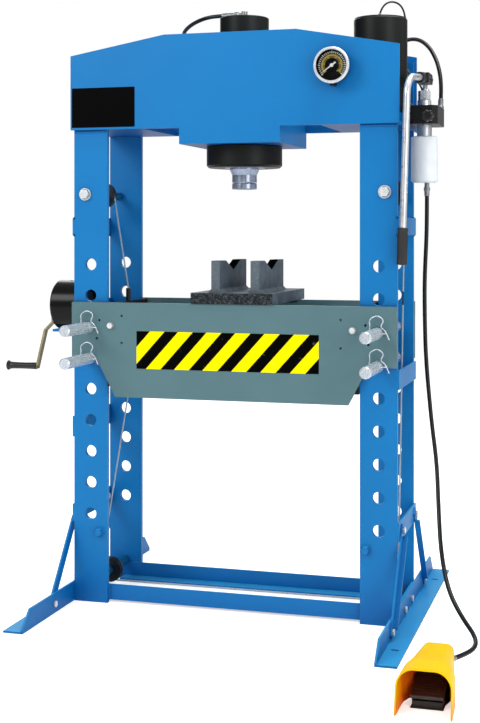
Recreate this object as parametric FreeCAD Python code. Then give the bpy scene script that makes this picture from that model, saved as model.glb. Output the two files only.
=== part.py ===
import FreeCAD, Part
import math
import os

# A floor-standing workshop press of the 75 tonne size, in millimetres.
# X runs to the operator's right, Y to the back and Z up.  The origin lies on
# the floor, midway between the four uprights.

V = FreeCAD.Vector
X_AXIS = V(1, 0, 0)
Y_AXIS = V(0, 1, 0)
Z_AXIS = V(0, 0, 1)

# ---------------------------------------------------------------- frame ----
frame_depth = 311.0          # over the outer faces of front and rear uprights
upright_pitch = 938.0        # left to right, centre to centre
upright_width = 115.0
upright_plate = 15.0
upright_top = 1735.0
pin_hole_d = 38.0
hole_step = 100.0
hole_count = 9
first_hole_z = 284.0

strap_plate = 6.0
upper_strap_z = (1177.0, 1232.0)
middle_strap_z = (713.0, 770.0)
lower_strap_z = (528.0, 594.0)
brace_bracket_z = (256.0, 311.0)
base_plate_z = (4.0, 60.0)

# ----------------------------------------------------------------- beam ----
beam_overhang = 65.0         # beyond an upright's centre line
beam_width = upright_pitch + 2 * beam_overhang
beam_plate = 13.0
beam_bottom = 1515.0
beam_shoulder = 1753.0       # height of the plate at its two ends
beam_top = 1810.0
beam_flat = 430.0            # width of the level part of the top edge
drop_width = 328.0           # the deeper middle that carries the cylinder
drop_bottom = 1464.0
cradle_plate = 12.0
cradle_floor = 20.0
cradle_lid_z = 1776.0
end_plate_reach = 245.0      # end plates, from the beam's ends towards its middle
end_plate_thick = 12.0

# ----------------------------------------------------------------- feet ----
foot_length = 1046.0
foot_leg = 63.0
foot_height = 62.0
foot_plate = 6.0
foot_chamfer = 52.0
foot_slot_reach = 91.0       # outside an upright's centre line
foot_slot_x = upright_pitch / 2.0 + foot_slot_reach
foot_slot_y = 386.0
foot_slot_length = 24.0
foot_slot_d = 12.0
brace_foot_y = 305.0
brace_foot_z = 30.0
brace_head_y = 118.0
brace_width = 30.0
brace_plate = 5.0
brace_flange = 18.0
crossbar_leg = 50.0
crossbar_plate = 5.0
crossbar_z = 8.0
crossbar_overhang = 1.0
crossbar_length = upright_pitch + 2 * crossbar_overhang

# ------------------------------------------------------------- cylinder ----
barrel_d = 158.0
barrel_bore = 130.0
barrel_top = 1877.0
barrel_cap = 30.0
collar_d = 244.0
collar_height = 70.0
collar_bevel = 7.0
bush_height = 96.0
rod_d = 96.0
nose_d = 80.0
nose_bottom = 1325.0
nose_taper = (46.0, 64.0)     # above the nose's end
nose_groove = 20.0
nose_taper_z = (nose_bottom + nose_taper[0], nose_bottom + nose_taper[1])
nose_groove_z = nose_bottom + nose_groove
piston_height = 50.0
fit_gap = 0.05               # running clearance on the radius
seat_gap = 0.3               # loose pieces lie this far from their seats

# ------------------------------------------------------------------ bed ----
bed_plate = 15.0
bed_slide_gap = 2.0          # between bed plates and uprights
bed_overhang = 58.5          # beyond an upright's centre line
bed_width = upright_pitch + 2 * bed_overhang
bed_top = 963.0
bed_ear_bottom = 779.0
bed_ear_inset = 29.0
bed_ear_reach = upright_pitch / 2.0 - bed_ear_inset     # half width where the ear ends
bed_bottom = 663.0
bed_floor_inset = 91.0
bed_floor_width = upright_pitch - 2 * bed_floor_inset
bed_end_plate = 12.0
bed_end_gap = 3.5            # end plates to the uprights' inner edges
bed_end_z = (695.0, 960.0)
bed_rod_inset = 76.0
bed_rod_x = upright_pitch / 2.0 - bed_rod_inset
bed_rod_z = 890.0
bed_rod_d = 16.0
bed_small_hole_inset = (113.0, 113.0, 37.0, 28.0)
bed_small_hole_z = (921.0, 835.0, 906.0, 848.0)
bed_small_hole_d = 8.0
upper_pin_hole_count = 6     # holes below the upper pin
lower_pin_hole_count = 5

pin_d = 36.0
pin_reach = 188.0            # in front of the bed
pin_tail = 24.0              # behind the bed
pin_chamfer = 4.0
clip_wire_d = 3.4
clip_stand = 13.0            # clip's plane in front of the bed
clip_fan_width = 46.0
clip_fan_height = 34.0
clip_neck_width = 22.0

# ------------------------------------------------------------- V blocks ----
block_width = 127.0
block_thick = 35.0
block_length = 400.0
block_y = 22.0
block_left_extra = 11.0     # the left bar is this much wider, on its outer side
block_left_x = -48.0
block_gap = 1.0
vee_plate = 28.0
vee_length = 290.0
vee_height = 100.0
vee_y = -10.0
vee_notch_width = 160.0
vee_notch_depth = 31.0
block_lug = 6.0
vee_weld = 12.0

# -------------------------------------------------------- lifting tackle ----
cable_d = 5.0
pulley_line_r = 35.0         # radius of the cable's centre line
pulley_rim = 6.0             # rim above the cable's centre line
pulley_width = 16.0
pulley_offset = 19.0         # outside an upright's centre line
pulley_x = upright_pitch / 2.0 + pulley_offset
pulley_z = 1309.0
low_pulley_inset = 3.0
low_pulley_x = upright_pitch / 2.0 - low_pulley_inset
low_pulley_z = 66.0
axle_d = 16.0
axle_washer_d = 40.0
axle_washer = 3.5
axle_head = 12.0
axle_head_af = 27.0
spacer_d = 26.0
cable_anchor_inset = 67.0
cable_anchor_x = upright_pitch / 2.0 - cable_anchor_inset
anchor_sleeve_d = 16.0
anchor_sleeve_length = 42.0

# reaches of the winch, left of the left uprights' centre line
winch_reach = (182.0, 63.0)
drum_reach = (137.0, 79.0)
gear_reach = (163.0, 149.0)
crank_reach = (195.0, 202.0, 225.0, 240.0)
crank_drop = (12.0, 38.0, 160.0)
winch_x = tuple(-upright_pitch / 2.0 - reach for reach in winch_reach)
winch_z = 945.0
winch_cover_d = 162.0
winch_cover_wall = 3.0
winch_shelf_width = 90.0
winch_plate = 8.0
winch_plate_top = 962.0
shaft_d = 16.0
drum_d = 40.0
drum_flange_d = 84.0
drum_x = tuple(-upright_pitch / 2.0 - reach for reach in drum_reach)
drum_flange = 4.0
gear_module = 2.2
gear_teeth = 40
pinion_teeth = 12
gear_x = tuple(-upright_pitch / 2.0 - reach for reach in gear_reach)
gear_centres = gear_module * (gear_teeth + pinion_teeth) / 2.0
crank_plate = 8.0
crank_width = 18.0
crank_lean_deg = 14.0
crank_hub_x = -upright_pitch / 2.0 - crank_reach[0]
# (x, distance from the shaft)
crank_bend = tuple((-upright_pitch / 2.0 - reach, drop) for reach, drop in zip(crank_reach[1:], crank_drop))
grip_length = 108.0
grip_d = 24.0
grip_flare_d = 33.0
grip_spindle_d = 10.0

# bolts of the feet and braces
foot_bolt_d = 12.0
foot_bolt_y = 62.0
foot_bolt_z = 28.0
foot_bolt_af = 18.0
foot_bolt_head = 7.0
foot_bolt_nut = 8.0

# heads of the two bolts through the bed
bed_washer_d = 23.0
bed_washer = 3.0
bed_head_af = 17.0
bed_head = 9.0

# ------------------------------------------------------ tank and pump ----
tank_inset = 23.0            # inside an upright's centre line
tank_x = upright_pitch / 2.0 - tank_inset
tank_d = 168.0
tank_wall = 3.0
tank_bottom = beam_bottom + end_plate_thick     # it stands on the beam's end plate
tank_height = 330.0
tank_lid_step = 4.0
tank_ring = 3.0
tank_ring_height = 30.0

pump_plate_thick = 8.0
pump_plate_y = (-20.0, frame_depth / 2.0 + beam_plate)
pump_plate_z = (1508.0, 1590.0)
pump_reach = 50.0            # outside the beam's end
pump_block_reach = (42.0, 48.0)
pump_x = beam_width / 2.0 + pump_reach
pump_block_x = (pump_x - pump_block_reach[0], pump_x + pump_block_reach[1])
pump_block_y = (-60.0, 102.0)
pump_block_cut = 16.0
pump_block_z = (1520.0, 1577.0)
pump_neck_d = 46.0
motor_d = 83.0
motor_z = (1341.0, 1484.0)
gland_af = 34.0
gland_collar_d = 43.0
gland_collar_z = 1596.0      # top of the collar
gland_z = 1626.0             # top of the gland nut
plunger_d = 14.0
plunger_foot = 1494.0
plunger_tongue = 8.0
fulcrum_y = 34.0
fulcrum_post_d = 20.0
fulcrum_rise = 87.0          # above the pump block
fulcrum_z = pump_block_z[1] + fulcrum_rise
handle_swing_deg = 45.0
socket_cheek_gap = 9.0       # between the two cheeks of the socket
socket_width = 38.0
socket_height = 32.0
socket_bar_y = -34.0
socket_slot_y = -30.0
socket_boss_length = 34.0
socket_bore_length = 200.0
socket_rear_y = 50.0
link_pin_d = 8.0
handle_d = 21.0
handle_bend_r = 60.0
handle_y = -181.0
handle_corner_in = 22.5      # left of the plunger
handle_corner_drop = 12.0
handle_foot_in = 39.5
handle_foot_drop = 570.0
handle_corner = (pump_x - handle_corner_in, handle_y, fulcrum_z - handle_corner_drop)
handle_foot = (pump_x - handle_foot_in, handle_y, fulcrum_z - handle_foot_drop)
handle_grip_d = 31.0
handle_grip_length = 113.0
knob_offset = 24.0           # right of the plunger
knob_x = pump_x + knob_offset
knob_z = 1541.0
knob_d = 37.0
knob_length = 24.0
knob_stem_d = 12.0
knob_seat = 22.0

air_port_d = 15.0
air_port_z = (1300.0, 1341.0)
air_port_offset = 8.0
air_port_x = pump_x + air_port_offset

# ---------------------------------------------------------------- gauge ----
gauge_inset = 197.0          # inside the beam's end
gauge_x = beam_width / 2.0 - gauge_inset
gauge_z = 1689.0
gauge_d = 110.0
gauge_face_d = 97.0
gauge_stand = 53.5           # from the beam's face to the gauge's front
gauge_front_y = -frame_depth / 2.0 - beam_plate - gauge_stand
gauge_case_depth = 38.0
gauge_glass = 2.0
gauge_stem_d = 15.0
gauge_stem_drop = 5.5
needle_rest_deg = 216.0      # counter-clockwise from +X, seen from the front
needle_length = 37.0
needle_tail = 15.0

# ---------------------------------------------------------------- pedal ----
pedal_x = 713.0
guard_y = (-859.0, -594.0)
guard_front_half = 72.0
guard_rear_half = 42.0
guard_height = 112.0
guard_rear_height = 104.0
guard_wall = 4.0
guard_front_reach = 92.0     # from the front edge to the widest part of the hood
guard_neck_reach = 138.0     # from the front edge to the narrow rear part
guard_neck_extra = 9.0       # the narrow part is this much wider at its front
guard_corner_r = 46.0
guard_toe = 70.0             # the pointed front feet reach this far forward
valve_width = 83.0
valve_y = (-806.0, -640.0)
treadle_y = (-794.0, -676.0)
treadle_front_z = 33.0
treadle_rise = 27.0
treadle_plate = 3.0
treadle_apron = 5.0
treadle_swing_deg = 5.0
treadle_pin_d = 6.0
valve_base = 3.0
pedal_inlet_x = 743.0
pedal_inlet_z = 61.5

# ---------------------------------------------------------------- hoses ----
elbow_rise = 12.0            # above the barrel
elbow_z = barrel_top + elbow_rise
pressure_hose_d = 13.0
return_hose_d = 6.0
air_hose_d = 13.0

PARTS = {}


# -------------------------------------------------------------- helpers ----
def block(x, y, z):
    """A box between the low and high value of each pair."""
    return Part.makeBox(x[1] - x[0], y[1] - y[0], z[1] - z[0], V(x[0], y[0], z[0]))


def centred(half_x, half_y, z):
    return block((-half_x, half_x), (-half_y, half_y), z)


def rod(diameter, start, end):
    """A round bar from one point to another."""
    start, end = V(*start), V(*end)
    along = end - start
    return Part.makeCylinder(diameter / 2.0, along.Length, start, along)


def ring(outer_d, inner_d, start, end):
    return rod(outer_d, start, end).cut(rod(inner_d, start, end))


def turned(profile, base, axis):
    """Revolves (radius, height) points about an axis through base."""
    wire = Part.makePolygon([V(r, 0, h) for r, h in profile] + [V(profile[0][0], 0, profile[0][1])])
    solid = Part.Face(wire).revolve(V(0, 0, 0), Z_AXIS, 360)
    solid.Placement = FreeCAD.Placement(V(*base), FreeCAD.Rotation(Z_AXIS, V(*axis)))
    return solid


def plate_xz(points, y0, y1):
    """A flat plate that stands in the XZ plane, from its outline."""
    corners = [V(x, y0, z) for x, z in points]
    return Part.Face(Part.makePolygon(corners + corners[:1])).extrude(V(0, y1 - y0, 0))


def plate_yz(points, x0, x1):
    corners = [V(x0, y, z) for y, z in points]
    return Part.Face(Part.makePolygon(corners + corners[:1])).extrude(V(x1 - x0, 0, 0))


def plate_xy(points, z0, z1):
    corners = [V(x, y, z0) for x, y in points]
    return Part.Face(Part.makePolygon(corners + corners[:1])).extrude(V(0, 0, z1 - z0))


def hexagon(across_flats, start, end):
    """A hexagonal bar, such as a bolt head, along one axis."""
    start, end = V(*start), V(*end)
    along = end - start
    reach = across_flats / math.sqrt(3.0)
    corners = [V(reach * math.cos(math.radians(60 * k)), reach * math.sin(math.radians(60 * k)), 0)
               for k in range(7)]
    solid = Part.Face(Part.makePolygon(corners)).extrude(V(0, 0, along.Length))
    solid.Placement = FreeCAD.Placement(start, FreeCAD.Rotation(Z_AXIS, along))
    return solid


def fused(shapes):
    whole = shapes[0]
    if len(shapes) > 1:
        whole = whole.multiFuse(shapes[1:])
    return whole.removeSplitter()


def mirrored_x(shape):
    return shape.mirror(V(0, 0, 0), X_AXIS)


def mirrored_y(shape):
    return shape.mirror(V(0, 0, 0), Y_AXIS)


def rounded_path(points, share=0.45, radius=None):
    """Straight runs joined by tangent arcs.  Without a radius, each arc takes
    its share of the shorter of its two runs.  Returns the wire and the radii."""
    points = [V(*p) for p in points]
    edges, radii = [], []
    cursor = points[0]
    for before, corner, after in zip(points, points[1:], points[2:]):
        back, ahead = before - corner, after - corner
        turn = math.pi - back.getAngle(ahead)
        cut = share * min(back.Length, ahead.Length)
        if radius is not None:
            cut = radius * math.tan(turn / 2.0)
        radii.append(cut / math.tan(turn / 2.0))
        back.normalize()
        ahead.normalize()
        enter, leave = corner + back * cut, corner + ahead * cut
        inward = back + ahead
        inward.normalize()
        middle = corner + inward * (math.hypot(radii[-1], cut) - radii[-1])
        edges.append(Part.LineSegment(cursor, enter).toShape())
        edges.append(Part.Arc(enter, middle, leave).toShape())
        cursor = leave
    edges.append(Part.LineSegment(cursor, points[-1]).toShape())
    return Part.Wire(edges), radii


def tube(points, diameter, share=0.45, radius=None):
    """A round section carried along a rounded path."""
    wire, radii = rounded_path(points, share, radius)
    start = V(*points[0])
    section = Part.Wire(Part.makeCircle(diameter / 2.0, start, V(*points[1]) - start))
    solid = wire.makePipeShell([section], True, False)
    return solid, radii, wire.Length


def hose(name, points, diameter):
    """A hose's solid; prints its length, its radii and a check of its volume."""
    solid, radii, length = tube(points, diameter)
    volume = math.pi * diameter ** 2 / 4.0 * length
    print(name, "length", round(length, 1), "volume ratio", round(solid.Volume / volume, 4),
          "radii", [round(r) for r in radii])
    return solid


def keep(name, *shapes):
    """Files the solids of one named node."""
    solids = [solid for shape in shapes for solid in shape.Solids]
    for solid in solids:
        if not solid.isValid() or solid.Volume <= 0:
            print("check", name, solid.isValid(), solid.Volume)
    PARTS[name] = solids[0] if len(solids) == 1 else Part.makeCompound(solids)


# ---------------------------------------------------- places in common ----
outer_y = frame_depth / 2.0                       # outer face of an upright
inner_y = outer_y - upright_plate
upright_x = upright_pitch / 2.0
upright_inner_x = upright_x - upright_width / 2.0
upright_outer_x = upright_x + upright_width / 2.0
hole_z = [first_hole_z + hole_step * k for k in range(hole_count)]
beam_face_y = outer_y + beam_plate
bed_inner_y = outer_y + bed_slide_gap
bed_face_y = bed_inner_y + bed_plate
foot_inner_x = upright_outer_x + 0.5
foot_outer_x = foot_inner_x + foot_leg


def washer_and_head(x, y, z, way, washer_d, washer, head_af, head):
    """A washer and a hexagon head standing on a face that looks along way * Y."""
    return [rod(washer_d, (x, y, z), (x, y + way * washer, z)),
            hexagon(head_af, (x, y + way * washer, z), (x, y + way * (washer + head), z))]


# ---------------------------------------------------------------- frame ----
def upright(side, row):
    """One flat bar with its pin holes.  side is -1 left, 1 right; row is -1 front, 1 rear."""
    y = sorted((row * inner_y, row * outer_y))
    bar = block((side * upright_x - upright_width / 2.0, side * upright_x + upright_width / 2.0),
                y, (0.0, upright_top))
    cuts = [rod(pin_hole_d, (side * upright_x, -frame_depth, z), (side * upright_x, frame_depth, z))
            for z in hole_z]
    cuts.append(rod(axle_d + 2 * seat_gap, (side * pulley_x, -frame_depth, pulley_z),
                    (side * pulley_x, frame_depth, pulley_z)))
    return bar.cut(Part.makeCompound(cuts))


def make_uprights():
    for side, side_name in ((-1, "left"), (1, "right")):
        for row, row_name in ((-1, "front"), (1, "rear")):
            keep("upright_%s_%s" % (row_name, side_name), upright(side, row))


def outer_strap(side, z_span):
    x = sorted((side * upright_outer_x, side * (upright_outer_x + strap_plate)))
    return block(x, (-outer_y, outer_y), z_span)


def make_side_straps():
    """Flat straps that tie each front upright to the rear one behind it."""
    straps = [outer_strap(-1, upper_strap_z), outer_strap(1, upper_strap_z),
              outer_strap(1, middle_strap_z), outer_strap(-1, lower_strap_z)]
    for side in (-1, 1):
        bracket = outer_strap(side, brace_bracket_z)
        for row in (-1, 1):
            bolt_y = row * brace_head_y
            bolt_z = sum(brace_bracket_z) / 2.0
            bracket = bracket.cut(rod(foot_bolt_d, (0, bolt_y, bolt_z), (side * beam_width, bolt_y, bolt_z)))
        straps.append(bracket)
        x = sorted((side * (upright_outer_x - strap_plate), side * upright_outer_x))
        base = block(x, (-inner_y, inner_y), base_plate_z)
        for row in (-1, 1):
            y = row * foot_bolt_y
            base = base.cut(rod(foot_bolt_d, (0, y, foot_bolt_z), (side * beam_width, y, foot_bolt_z)))
        straps.append(base)
    keep("side_straps", *straps)


def beam_outline():
    half = beam_width / 2.0
    return [(-half, beam_bottom), (-drop_width / 2.0, beam_bottom), (-drop_width / 2.0, drop_bottom),
            (drop_width / 2.0, drop_bottom), (drop_width / 2.0, beam_bottom), (half, beam_bottom),
            (half, beam_shoulder), (beam_flat / 2.0, beam_top), (-beam_flat / 2.0, beam_top),
            (-half, beam_shoulder)]


def make_beam():
    """Two profiled plates, with the welded cradle and end plates between them."""
    keep("beam_front_plate", plate_xz(beam_outline(), -beam_face_y, -outer_y))
    keep("beam_rear_plate", plate_xz(beam_outline(), outer_y, beam_face_y))
    half = drop_width / 2.0
    cradle = fused([
        block((-half, -half + cradle_plate), (-outer_y, outer_y), (drop_bottom, cradle_lid_z)),
        block((half - cradle_plate, half), (-outer_y, outer_y), (drop_bottom, cradle_lid_z)),
        centred(half, outer_y, (drop_bottom, drop_bottom + cradle_floor)),
        centred(half, outer_y, (cradle_lid_z, cradle_lid_z + cradle_plate))])
    bore = rod(barrel_d + 2 * fit_gap, (0, 0, drop_bottom - 1), (0, 0, beam_top))
    ends = []
    for side in (-1, 1):
        outside = block(sorted((side * (beam_width / 2.0 - end_plate_reach), side * upright_inner_x)),
                        (-outer_y, outer_y), (beam_bottom, beam_bottom + end_plate_thick))
        between = block(sorted((side * upright_inner_x, side * upright_outer_x)),
                        (-inner_y, inner_y), (beam_bottom, beam_bottom + end_plate_thick))
        ends.append(fused([outside, between]))
    keep("beam_inner_plates", cradle.cut(bore), *ends)


# ----------------------------------------------------------------- feet ----
def foot(side):
    """An angle whose upright leg stands against the frame, chamfered at both ends."""
    half = foot_length / 2.0
    outline = [(-half, 0), (half, 0), (half, foot_plate + 4.0), (half - foot_chamfer, foot_height),
               (-half + foot_chamfer, foot_height), (-half, foot_plate + 4.0)]
    standing = plate_yz(outline, foot_inner_x, foot_inner_x + foot_plate)
    lying = block((foot_inner_x, foot_outer_x), (-half, half), (0, foot_plate))
    angle = fused([standing, lying])
    cuts = []
    for row in (-1, 1):
        slot_half = (foot_slot_length - foot_slot_d) / 2.0
        x, y = foot_slot_x, row * foot_slot_y
        cuts += [block((x - slot_half, x + slot_half), (y - foot_slot_d / 2.0, y + foot_slot_d / 2.0),
                       (-1, foot_plate + 1)),
                 rod(foot_slot_d, (x - slot_half, y, -1), (x - slot_half, y, foot_plate + 1)),
                 rod(foot_slot_d, (x + slot_half, y, -1), (x + slot_half, y, foot_plate + 1)),
                 rod(foot_bolt_d, (0, row * foot_bolt_y, foot_bolt_z),
                     (beam_width, row * foot_bolt_y, foot_bolt_z)),
                 rod(foot_bolt_d, (0, row * brace_foot_y, brace_foot_z),
                     (beam_width, row * brace_foot_y, brace_foot_z))]
    angle = angle.cut(Part.makeCompound(cuts))
    return angle if side > 0 else mirrored_x(angle)


def brace(side, row):
    """A sloping angle bar from the foot up to the bracket, bolted at both ends."""
    foot_point = V(0, brace_foot_y, brace_foot_z)
    head_point = V(0, brace_head_y, sum(brace_bracket_z) / 2.0)
    along = head_point - foot_point
    length = along.Length
    tilt = math.degrees(math.atan2(along.z, along.y))
    end = brace_width / 2.0
    flat = [(-end, -end), (length + end, -end), (length + end, end), (-end, end)]
    bar = plate_yz(flat, 0, brace_plate)
    flange = block((0, brace_flange), (end, length - end), (end - brace_plate, end))
    bar = fused([bar, flange])
    holes = [rod(foot_bolt_d, (-1, 0, 0), (brace_flange, 0, 0)),
             rod(foot_bolt_d, (-1, length, 0), (brace_flange, length, 0))]
    bar = bar.cut(Part.makeCompound(holes))
    bar.Placement = FreeCAD.Placement(foot_point + V(foot_inner_x + foot_plate, 0, 0),
                                      FreeCAD.Rotation(X_AXIS, tilt))
    if row < 0:
        bar = mirrored_y(bar)
    return bar if side > 0 else mirrored_x(bar)


def make_feet():
    keep("feet", foot(-1), foot(1))
    keep("foot_braces", *[brace(side, row) for side in (-1, 1) for row in (-1, 1)])


def make_crossbars():
    """Angles across the base, their lower legs pointing inwards."""
    half = crossbar_length / 2.0
    bars = []
    for row in (-1, 1):
        y = sorted((row * inner_y, row * (inner_y - crossbar_plate)))
        leg = sorted((row * inner_y, row * (inner_y - crossbar_leg)))
        bars.append(fused([
            block((-half, half), y, (crossbar_z, crossbar_z + crossbar_leg)),
            block((-half, half), leg, (crossbar_z, crossbar_z + crossbar_plate))]))
    keep("crossbars", *bars)


def side_bolt(side, y, z, inner_x, outer_x):
    """A bolt along X through the pieces between two X places, nut inside."""
    parts = [hexagon(foot_bolt_af, (outer_x, y, z), (outer_x + foot_bolt_head, y, z)),
             rod(foot_bolt_d - 2 * seat_gap, (inner_x - foot_bolt_nut, y, z), (outer_x, y, z)),
             hexagon(foot_bolt_af, (inner_x - foot_bolt_nut, y, z), (inner_x, y, z))]
    bolt = fused(parts)
    return bolt if side > 0 else mirrored_x(bolt)


def make_machine_bolts():
    """Bolts of feet, braces and bed in one node."""
    bolts = bed_bolts()
    bracket_z = sum(brace_bracket_z) / 2.0
    for side in (-1, 1):
        for row in (-1, 1):
            bolts.append(side_bolt(side, row * foot_bolt_y, foot_bolt_z,
                                   upright_outer_x - strap_plate, foot_inner_x + foot_plate))
            bolts.append(side_bolt(side, row * brace_foot_y, brace_foot_z,
                                   foot_inner_x, foot_inner_x + foot_plate + brace_plate))
            bolts.append(side_bolt(side, row * brace_head_y, bracket_z,
                                   upright_outer_x, foot_inner_x + foot_plate + brace_plate))
    keep("machine_bolts", *bolts)


# ------------------------------------------------------------- cylinder ----
def make_cylinder():
    """A single-acting cylinder: barrel, ring nut under the beam, guide bush and ram."""
    outer_r, bore_r = barrel_d / 2.0, barrel_bore / 2.0
    barrel_bottom = drop_bottom - collar_height
    cap_z = barrel_top - barrel_cap
    keep("cylinder_barrel", turned(
        [(bore_r, barrel_bottom), (outer_r, barrel_bottom), (outer_r, barrel_top - 2),
         (outer_r - 2, barrel_top), (0, barrel_top), (0, cap_z), (bore_r, cap_z)],
        (0, 0, 0), (0, 0, 1)))
    collar_r = collar_d / 2.0
    keep("cylinder_collar", turned(
        [(outer_r + fit_gap, barrel_bottom), (collar_r - collar_bevel, barrel_bottom),
         (collar_r, barrel_bottom + collar_bevel), (collar_r, drop_bottom - collar_bevel / 2.0),
         (collar_r - collar_bevel / 2.0, drop_bottom), (outer_r + fit_gap, drop_bottom)],
        (0, 0, 0), (0, 0, 1)))
    keep("guide_bush", turned(
        [(rod_d / 2.0 + fit_gap, barrel_bottom), (bore_r, barrel_bottom),
         (bore_r, barrel_bottom + bush_height), (rod_d / 2.0 + fit_gap, barrel_bottom + bush_height)],
        (0, 0, 0), (0, 0, 1)))
    piston_top = cap_z - 2.0
    piston_bottom = piston_top - piston_height
    nose_r = nose_d / 2.0
    seal = 4.0
    keep("ram", turned(
        [(0, nose_bottom), (nose_r - 2, nose_bottom), (nose_r, nose_bottom + 2),
         (nose_r, nose_groove_z - 3), (nose_r - 2, nose_groove_z), (nose_r, nose_groove_z + 3),
         (nose_r, nose_taper_z[0]), (rod_d / 2.0, nose_taper_z[1]),
         (rod_d / 2.0, piston_bottom), (0, piston_bottom)],
        (0, 0, 0), (0, 0, 1)))
    piston_r = bore_r - fit_gap
    piston = turned(
        [(0, piston_bottom), (piston_r, piston_bottom), (piston_r, piston_bottom + 14),
         (piston_r - seal, piston_bottom + 14), (piston_r - seal, piston_top - 22),
         (piston_r, piston_top - 22), (piston_r, piston_top - 2), (piston_r - 2, piston_top),
         (0, piston_top)], (0, 0, 0), (0, 0, 1))
    keep("piston", piston, turned(
        [(piston_r - seal, piston_bottom + 14), (piston_r, piston_bottom + 14),
         (piston_r, piston_top - 22), (piston_r - seal, piston_top - 22)],
        (0, 0, 0), (0, 0, 1)))


# ------------------------------------------------------------------ bed ----
def bed_outline():
    """Half-width points of a bed plate, with a half-round saddle over each lower pin."""
    return [(bed_floor_width / 2.0, bed_bottom), (bed_ear_reach, bed_ear_bottom),
            (bed_width / 2.0, bed_ear_bottom), (bed_width / 2.0, bed_top)]


pin_drop = (pin_hole_d - pin_d) / 2.0 - seat_gap
upper_pin_z = hole_z[upper_pin_hole_count] - pin_drop
lower_pin_z = hole_z[lower_pin_hole_count] - pin_drop
saddle_r = pin_hole_d / 2.0
saddle_z = lower_pin_z + pin_d / 2.0 + seat_gap - saddle_r


def bed_side_plate(row):
    small_holes = [(upright_x - inset, z) for inset, z in zip(bed_small_hole_inset, bed_small_hole_z)]
    right = bed_outline()
    outline = right + [(-x, z) for x, z in reversed(right)]
    y0, y1 = sorted((row * bed_inner_y, row * bed_face_y))
    plate = plate_xz(outline, y0, y1)
    cuts = []
    for side in (-1, 1):
        x = side * upright_x
        cuts += [rod(pin_hole_d, (x, y0 - 1, saddle_z), (x, y1 + 1, saddle_z)),
                 rod(pin_hole_d, (x, y0 - 1, hole_z[upper_pin_hole_count]), (x, y1 + 1, hole_z[upper_pin_hole_count])),
                 rod(bed_rod_d, (side * bed_rod_x, y0 - 1, bed_rod_z),
                     (side * bed_rod_x, y1 + 1, bed_rod_z))]
        cuts += [rod(bed_small_hole_d, (side * hx, y0 - 1, hz), (side * hx, y1 + 1, hz))
                 for hx, hz in small_holes]
    return plate.cut(Part.makeCompound(cuts))


def make_bed():
    keep("bed_front_plate", bed_side_plate(-1))
    keep("bed_rear_plate", bed_side_plate(1))
    ends = []
    outer_x = upright_inner_x - bed_end_gap
    for side in (-1, 1):
        x = sorted((side * (outer_x - bed_end_plate), side * outer_x))
        plate = block(x, (-bed_inner_y, bed_inner_y), bed_end_z)
        rod_x = side * bed_rod_x
        ends.append(plate.cut(rod(bed_rod_d, (rod_x, -bed_inner_y, bed_rod_z), (rod_x, bed_inner_y, bed_rod_z))))
    keep("bed_end_plates", *ends)


def bed_bolts():
    """The two long bolts that hold the bed plates together."""
    bolts = []
    for side in (-1, 1):
        rod_x = side * bed_rod_x
        pieces = [rod(bed_rod_d - 2 * seat_gap, (rod_x, -bed_face_y, bed_rod_z), (rod_x, bed_face_y, bed_rod_z))]
        for way in (-1, 1):
            pieces += washer_and_head(rod_x, way * bed_face_y, bed_rod_z, way, bed_washer_d, bed_washer,
                                      bed_head_af, bed_head)
        bolts.append(fused(pieces))
    return bolts


def pin_clip(x, z):
    """A wire clip: its leg passes through the pin, then it stands up as a fan."""
    y = -bed_face_y - clip_stand
    half_top, half_neck = clip_fan_width / 2.0, clip_neck_width / 2.0
    low = z + pin_d / 2.0 - 3.0
    high = low + clip_fan_height
    leg_end = pin_d / 2.0 + 14.0
    points = [(x + leg_end, y, z), (x - pin_d / 2.0 - 7.0, y, z), (x - half_neck - 9.0, y, low + 6.0),
              (x - half_top, y, high - 8.0), (x, y, high + 7.0), (x + half_top, y, high - 8.0),
              (x + half_neck, y, low + 5.0), (x + pin_d / 2.0 + 8.0, y, z + 9.0),
              (x + pin_d / 2.0 + 20.0, y, z - 18.0)]
    return points


def bed_pin(x, z):
    half = pin_d / 2.0
    front, rear = -bed_face_y - pin_reach, bed_face_y + pin_tail
    pin = turned([(0, front), (half - pin_chamfer, front), (half, front + pin_chamfer),
                  (half, rear - pin_chamfer), (half - pin_chamfer, rear), (0, rear)],
                 (x, 0, z), (0, 1, 0))
    clip_y = -bed_face_y - clip_stand
    hole_r = clip_wire_d / 2.0 + seat_gap
    return pin.cut(rod(2 * hole_r, (x - pin_d, clip_y, z), (x + pin_d, clip_y, z)))


def make_bed_pins():
    for row_name, z in (("upper", upper_pin_z), ("lower", lower_pin_z)):
        for side, side_name in ((-1, "left"), (1, "right")):
            x = side * upright_x
            wire, _, _ = tube(pin_clip(x, z), clip_wire_d, share=0.42)
            keep("bed_pin_%s_%s" % (row_name, side_name), bed_pin(x, z), wire)


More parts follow.
